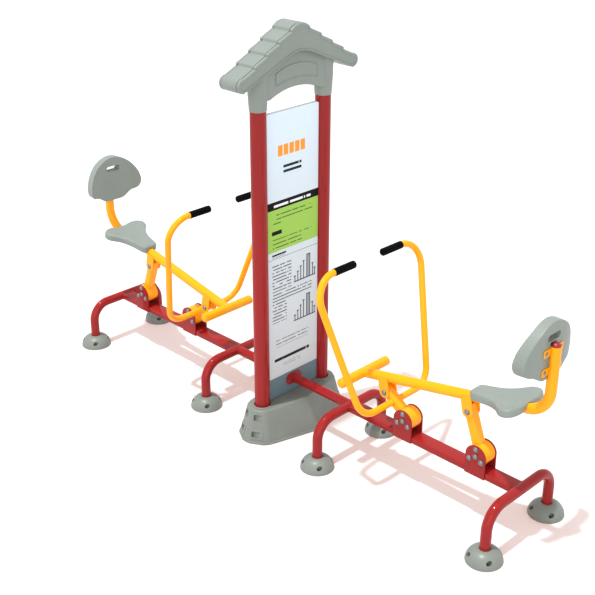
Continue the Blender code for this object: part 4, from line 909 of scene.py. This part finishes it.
far_half = [(HANDLE_TOP.x, GRIP_TIP + 0.005, HANDLE_TOP.z), HANDLE_TOP,
            (CROSSBAR.x, HANDLE_LOW_Y, CROSSBAR.z)]
handle_corners = far_half + [(x, -y, z) for x, y, z in reversed(far_half)]
handle_parts = [tube(bent_path(handle_corners, HANDLE_BENDS, 16), HANDLE_RADIUS)]
for y in (-0.0242, 0.0242):
    handle_parts.append(ring_weld((CROSSBAR.x, y, CROSSBAR.z), HANDLE_RADIUS + 0.0006, "Y"))
on_both_sides("handlebar_tube", shape_from(opened(*handle_parts)), yellow_paint, "handlebar", "front_rocker")


# The grips are closed sleeves of black rubber pushed over the ends of the handlebar.
# A band of shallow rings runs along the middle of each, and the tip is rounded.
GRIP_RADIUS = 0.0180
GROOVE_RADIUS = GRIP_RADIUS - 0.0008
GROOVE_PITCH = 0.006


def black_rubber():
    """Matt black rubber with a fine pebbled skin and a little dust."""
    material, tree, shader = new_finish("black_rubber")
    dust = clouds(tree, 45.0, 5.0, low=0.45, high=0.8)
    dark, dust_and_shade = (0.0015, 0.0015, 0.0015, 1.0), (0.0055, 0.0052, 0.0050, 1.0)
    feed(tree, shader, {"Base Color": tinted(tree, dust, dark, dust_and_shade),
                        "Roughness": clouds(tree, 80.0, 3.0, 0.50, 0.68), "Specular IOR Level": 0.04,
                        "Normal": relief(tree, ((620.0, 2.0, 0.3, 0.0006),))})
    return material


rubber = black_rubber()
grip_profile = [(0, GRIP_TIP), (0.0128, GRIP_TIP), (0.0158, GRIP_TIP + 0.0012), (0.0174, GRIP_TIP + 0.0035),
                (GRIP_RADIUS, GRIP_TIP + 0.007)]
for step in [GRIP_TIP + 0.018 + index * GROOVE_PITCH for index in range(16)]:
    grip_profile += [(GRIP_RADIUS, step), (GROOVE_RADIUS, step + 0.001), (GROOVE_RADIUS, step + 0.002),
                     (GRIP_RADIUS, step + 0.003)]
grip_profile += [(GRIP_RADIUS, GRIP_START - 0.001), (GRIP_RADIUS - 0.001, GRIP_START),
                 (HANDLE_RADIUS, GRIP_START), (HANDLE_RADIUS, GRIP_TIP + 0.004), (0, GRIP_TIP + 0.004)]
for number, turn in ((1, 0.0), (2, math.pi)):
    grip = turned(grip_profile, 40, "Y")
    grip.transform(Matrix.Translation((HANDLE_TOP.x, 0, HANDLE_TOP.z)) @ Matrix.Rotation(turn, 4, "Z"))
    on_both_sides("grip_sleeve_%d" % number, grip, rubber, "grip_%d" % number, "front_rocker")


# The seat tube is one bent tube: a straight rail under the saddle that turns up into the backrest's post.
# Flat tabs for the saddle and the backrest are welded to it, and the footrest is a cross tube at its front.
RAIL_OFFSET = 0.0686
RAIL_BEND = 0.12
FOOTREST_X = 0.484
FOOTREST_HALF = 0.169
FOOTREST_END = 0.012
BACK_POST_X = 1.483
BACK_POST_TOP = 0.972
RAIL_RUN = (REAR_PIN - FRONT_PIN).normalized()
RAIL_UP = Vector((-RAIL_RUN.z, 0, RAIL_RUN.x))
RAIL_ANGLE = math.atan2(RAIL_RUN.z, RAIL_RUN.x)
RAIL_BASE = FRONT_PIN + RAIL_UP * RAIL_OFFSET
RAIL_PLACE = Matrix.Translation(RAIL_BASE) @ Matrix.Rotation(-RAIL_ANGLE, 4, "Y")
SADDLE_START = 0.510
SADDLE_LENGTH = 0.285
BACK_REAR_X = 1.471
BACK_BOTTOM = 0.826
BACK_HEIGHT = 0.252
TAB_THICKNESS = 0.004
TAB_HALF = 0.016
TAB_CORNER = 0.007
TAB_EDGE = 0.0006


def rail_point(x):
    """Point on the seat tube's centre line at the given X."""
    return RAIL_BASE + RAIL_RUN * ((x - RAIL_BASE.x) / RAIL_RUN.x)


def tab_outline(far, side):
    """Tab with rounded outer corners, from inside the tube out to one side."""
    near = PIPE_RADIUS * 0.5
    turn_at = TAB_HALF - TAB_CORNER
    points = [(near, -TAB_HALF)] + arc(TAB_CORNER, -math.pi / 2, 0, 5, far - TAB_CORNER, -turn_at)
    points += arc(TAB_CORNER, 0, math.pi / 2, 5, far - TAB_CORNER, turn_at) + [(near, TAB_HALF)]
    return [(side * first, second) for first, second in points]


def pad_bolt(axis):
    """Domed head on a small washer."""
    return turned([(0, -0.006), (0.004, -0.006), (0.004, 0), (0.009, 0), (0.009, 0.0009)] +
                  dome(0.00756, 0.0046, 6, 0.0009), 28, axis)


rail_corners = [rail_point(FOOTREST_X), rail_point(BACK_POST_X), (BACK_POST_X, 0, BACK_POST_TOP)]
rail_path = bent_path(rail_corners, (RAIL_BEND,), 18)
on_both_sides("seat_rail", tube(rail_path, PIPE_RADIUS), yellow_paint, "seat_tube", "seat_frame")

saddle_bolts = [(SADDLE_START + SADDLE_LENGTH * 0.66, side, side * 0.043) for side in (-1, 1)]
for number, (along, side, across) in enumerate(saddle_bolts, 1):
    outline = [(place + along, y) for y, place in tab_outline(0.058, side)]
    tab = plate([outline], -SEAT_GAP - TAB_THICKNESS, -SEAT_GAP, "Z")
    tab.transform(RAIL_PLACE)
    on_both_sides("saddle_tab_%d" % number, tab, yellow_paint, part="seat_frame", edge=TAB_EDGE)
    bolt = pad_bolt("Z")
    bolt.transform(RAIL_PLACE @ Matrix.Translation((along, across, -SEAT_GAP - TAB_THICKNESS)) @
                   Matrix.Rotation(math.pi, 4, "X"))
    on_both_sides("saddle_bolt_%d" % number, bolt, steel, part="seat_frame")

tab_near, tab_far = BACK_REAR_X + SEAT_GAP, BACK_REAR_X + SEAT_GAP + TAB_THICKNESS
back_bolts = [(side, BACK_BOTTOM + BACK_HEIGHT * share) for share in (0.155, 0.495) for side in (-1, 1)]
for number, (side, up) in enumerate(back_bolts, 1):
    tab = plate([[(y, place + up) for y, place in tab_outline(0.068, side)]], tab_near, tab_far, "X")
    on_both_sides("backrest_tab_%d" % number, tab, yellow_paint, part="seat_frame", edge=TAB_EDGE)
    bolt = at_place(pad_bolt("X"), tab_far, side * 0.051, up)
    on_both_sides("backrest_bolt_%d" % number, bolt, steel, part="seat_frame")

footrest_profile = dome(PIPE_RADIUS, FOOTREST_END, 8, FOOTREST_HALF - FOOTREST_END)
footrest = at_place(turned(both_ends(footrest_profile), 40, "Y"), *rail_point(FOOTREST_X))
on_both_sides("footrest_bar", footrest, yellow_paint, "footrest", "seat_frame")


# Each link is a pair of ear plates welded to the sides of the seat tube, with a lever's end between them.
# A domed steel bolt goes through both ears and the lever and is the pivot.
EAR_HALF = 0.028
EAR_NEAR = PIPE_RADIUS + SEAT_GAP
EAR_FAR = EAR_NEAR + 0.005

for end, pin in (("front", FRONT_PIN), ("rear", REAR_PIN)):
    top = pin + RAIL_UP * (RAIL_OFFSET + 0.004)
    ear_outline = [(corner.x, corner.z) for corner in (top + RAIL_RUN * EAR_HALF, top - RAIL_RUN * EAR_HALF)]
    ear_outline += arc(EAR_HALF, RAIL_ANGLE + math.pi, RAIL_ANGLE + math.tau, 20, pin.x, pin.z)
    for name, side in (("near", -1), ("far", 1)):
        ear = plate([ear_outline], side * EAR_NEAR, side * EAR_FAR, "Y")
        on_both_sides("%s_ear_%s" % (end, name), ear, yellow_paint, part="seat_frame", edge=0.0010)
    pivot = at_place(domed_bolt(PIVOT_HEAD, EAR_FAR), *pin)
    on_both_sides(end + "_pivot_bolt", pivot, steel, end + "_link", "seat_frame")


# A domed plastic plug closes the open top of the backrest's post. It is red and pressed in.
PLUG_RADIUS = 0.0215
PLUG_HEIGHT = 0.0170


def red_plug_plastic():
    """Smooth red plastic with a faint moulded ripple."""
    material, tree, shader = new_finish("red_plug_plastic")
    feed(tree, shader, {"Base Color": tinted(tree, clouds(tree, 30.0, 3.0), scaled(RED, 0.85), RED),
                        "Roughness": clouds(tree, 120.0, 3.0, 0.3, 0.42),
                        "Normal": relief(tree, ((260.0, 2.0, 0.1, 0.0005),))})
    return material


plug = turned([(0, 0)] + dome(PLUG_RADIUS, PLUG_HEIGHT, 9), 40)
plug = at_place(plug, BACK_POST_X, 0, BACK_POST_TOP + SEAT_GAP)
on_both_sides("post_plug", plug, red_plug_plastic(), "tube_plug", "seat_frame")


# The saddle is a thick hollow moulding, narrow in front and wide behind, that sits over the rail.
# Its rim is well rounded, its top is slightly dished, and two bolts from below hold it to the tabs.
SADDLE_HALF = 0.133
SADDLE_NOSE = 0.044
SADDLE_FALL = 0.013
SADDLE_SHARES = ((0.0, 0.22), (0.03, 0.315), (0.075, 0.36), (0.20, 0.402), (0.31, 0.444), (0.453, 0.534),
                 (0.593, 0.692), (0.69, 0.88), (0.745, 0.962), (0.815, 1.0), (0.89, 0.97), (0.95, 0.857),
                 (0.985, 0.69), (1.0, 0.45), (0.98, 0.2))
MOULD_GRAIN = 0.0026
RIM_ANGLE = math.radians(50)


def eased(points, steps=4):
    """Closed outline drawn smoothly through its points."""
    smooth = []
    count = len(points)
    for index in range(count):
        before, start, end, after = (Vector(points[(index + shift) % count]) for shift in (-1, 0, 1, 2))
        for share in [step / steps for step in range(steps)]:
            place = 0.5 * ((2 * start) + (end - before) * share +
                           (2 * before - 5 * start + 4 * end - after) * share ** 2 +
                           (3 * start - before - 3 * end + after) * share ** 3)
            smooth.append(tuple(place))
    return smooth


def moulded(mesh):
    """Thick moulding with evenly fine faces and softened edges."""
    holder = linked("moulding", mesh)
    fine = holder.modifiers.new("fine", "REMESH")
    fine.mode = "VOXEL"
    fine.voxel_size = MOULD_GRAIN
    soft = holder.modifiers.new("soft", "SMOOTH")
    soft.factor = 0.5
    soft.iterations = 4
    return as_shown(holder)


saddle_right = [(SADDLE_START + SADDLE_LENGTH * along, SADDLE_HALF * wide) for along, wide in SADDLE_SHARES]
saddle_outline = eased(saddle_right + [(along, -across) for along, across in reversed(saddle_right)])
saddle = plate([saddle_outline], 0.0, SADDLE_NOSE, "Z")
for corner in saddle.vertices:
    if corner.co.z > 0:
        corner.co.z -= SADDLE_FALL * (corner.co.x - SADDLE_START) / SADDLE_LENGTH
saddle = moulded(bevelled(saddle, 0.0105, 5, RIM_ANGLE))
for corner in saddle.vertices:
    along = (corner.co.x - SADDLE_START) / SADDLE_LENGTH
    wing = min(max(along - 0.35, 0.0) / 0.4, 1.0) * min(abs(corner.co.y) / 0.09, 1.0) ** 2
    corner.co.z *= 1.0 + 0.20 * wing
    if corner.co.z > 0.02:
        corner.co.z -= 0.0035 * math.exp(-((along - 0.74) / 0.20) ** 2 - (corner.co.y / 0.075) ** 2)
saddle.transform(RAIL_PLACE)
saddle = combined(saddle, tube(rail_path, PIPE_RADIUS + 0.0032, 10))
on_both_sides("saddle_moulding", saddle, grey_plastic, "saddle", "seat_frame")


# The backrest is a moulding of the same kind: a D, flat at its tabs and curved forwards at the sides.
# A rounded slot goes through it near the top as a hand hold, and a channel behind takes the post.
BACK_FRONT_X = 1.424
BACK_HALF = 0.171
BACK_SHARES = ((0.30, 0.0), (0.46, 0.045), (0.64, 0.125), (0.85, 0.165), (0.96, 0.235), (1.0, 0.35),
               (0.97, 0.48), (0.89, 0.61), (0.74, 0.75), (0.55, 0.865), (0.29, 0.96))
BACK_FLAT_HALF = 0.066
BACK_FRONT_SAG = 0.029
BACK_REAR_SAG = 0.021
SLOT_HALF = 0.045
SLOT_RADIUS = 0.015
SLOT_SHARE = 0.732

back_right = [(BACK_HALF * wide, BACK_BOTTOM + BACK_HEIGHT * high) for wide, high in BACK_SHARES]
back_left = [(-y, z) for y, z in reversed(back_right)]
back_outline = eased(back_right + [(0, BACK_BOTTOM + BACK_HEIGHT)] + back_left + [(0, BACK_BOTTOM)])
work = opened(plate([back_outline], BACK_FRONT_X, BACK_REAR_X, "X"))
for index in range(-12, 13):
    bmesh.ops.bisect_plane(work, geom=work.verts[:] + work.edges[:] + work.faces[:], dist=MERGE,
                           plane_co=(0, BACK_HALF * index / 12.5, 0), plane_no=(0, 1, 0))
backrest = shape_from(work)
for corner in backrest.vertices:
    outside = max(abs(corner.co.y) - BACK_FLAT_HALF, 0) / (BACK_HALF - BACK_FLAT_HALF)
    if corner.co.x < (BACK_FRONT_X + BACK_REAR_X) / 2:
        corner.co.x -= outside ** 2 * BACK_FRONT_SAG
    else:
        corner.co.x -= outside ** 2 * BACK_REAR_SAG
        corner.co.y *= 0.96
backrest = moulded(bevelled(backrest, 0.0075, 4, RIM_ANGLE))
slot_outline = rounded_box(SLOT_HALF, SLOT_RADIUS, SLOT_RADIUS - 0.0001, 10)
hand_slot = plate([slot_outline], BACK_FRONT_X - 0.1, BACK_REAR_X + 0.1, "X")
backrest = combined(backrest, at_place(hand_slot, 0, 0, BACK_BOTTOM + BACK_HEIGHT * SLOT_SHARE))
post_ends = [(BACK_POST_X, 0, BACK_BOTTOM - 0.01), (BACK_POST_X, 0, BACK_POST_TOP + PLUG_HEIGHT)]
backrest = combined(backrest, tube(post_ends, PIPE_RADIUS + 0.0004, 12))
on_both_sides("backrest_moulding", backrest, grey_plastic, "backrest", "seat_frame")


# The machine stands on plain pale ground in daylight: a high sun on its near side and haze from the front.
# The camera looks down on it from where the photograph was taken, three metres above the ground.
GROUND_REACH = 60
LAMPS = (("sun", 3.0, 2.0, (-0.082, -0.232, 1.0)), ("haze", 0.90, 60.0, (0.75, -1.0, 0.25)))
PHOTO_FOCUS = 1103.46
PHOTO_WIDTH = 595
SENSOR_WIDTH = 36.0


def pale_ground():
    """Pale matt ground that turns white in full light and keeps soft, slightly pink shadows."""
    material = bpy.data.materials.new("pale_ground")
    material.use_nodes = True
    tree = material.node_tree
    tree.nodes.clear()
    matt = node(tree, "BsdfDiffuse", {"Color": (0.50, 0.60, 0.62, 1.0)})
    glow = node(tree, "Emission", {"Color": (0.365, 0.14, 0.095, 1.0), "Strength": 1.0})
    both = node(tree, "AddShader", {0: matt.outputs["BSDF"], 1: glow.outputs["Emission"]})
    node(tree, "OutputMaterial", {"Surface": both.outputs["Shader"]})
    return material


ground_corners = [(x * GROUND_REACH, y * GROUND_REACH, 0) for x, y in ((-1, -1), (1, -1), (1, 1), (-1, 1))]
ground_mesh = bpy.data.meshes.new("ground")
ground_mesh.from_pydata(ground_corners, [], [(0, 1, 2, 3)])
ground_mesh.materials.append(pale_ground())
ground = linked("ground", ground_mesh)
ground.location.z = -0.0005

sky = bpy.data.worlds.new("sky")
sky.use_nodes = True
sky_tree = sky.node_tree
rays = node(sky_tree, "LightPath", {}).outputs
seen = either(sky_tree, [rays[kind] for kind in ("Is Camera Ray", "Is Glossy Ray", "Is Transmission Ray")])
feed(sky_tree, sky_tree.nodes["Background"], {"Color": (1.0, 1.0, 1.0, 1.0),
                                              "Strength": spread(sky_tree, seen, 0.0, 1.0, 1.05, 1.0)})
bpy.context.scene.world = sky

for name, energy, width, direction in LAMPS:
    light = bpy.data.lights.new(name, "SUN")
    light.energy = energy
    light.angle = math.radians(width)
    lamp = linked(name, light)
    lamp.rotation_mode = "QUATERNION"
    lamp.rotation_quaternion = Vector(direction).to_track_quat("Z", "Y")

lens = bpy.data.cameras.new("camera")
lens.sensor_width = SENSOR_WIDTH
lens.lens = PHOTO_FOCUS / PHOTO_WIDTH * SENSOR_WIDTH
camera = linked("camera", lens)
camera.location = (3.4851, -3.4455, 3.0099)
camera.rotation_euler = (math.radians(64.635), 0.0, math.radians(45.0))
bpy.context.scene.camera = camera
bpy.context.scene.view_settings.view_transform = "Standard"
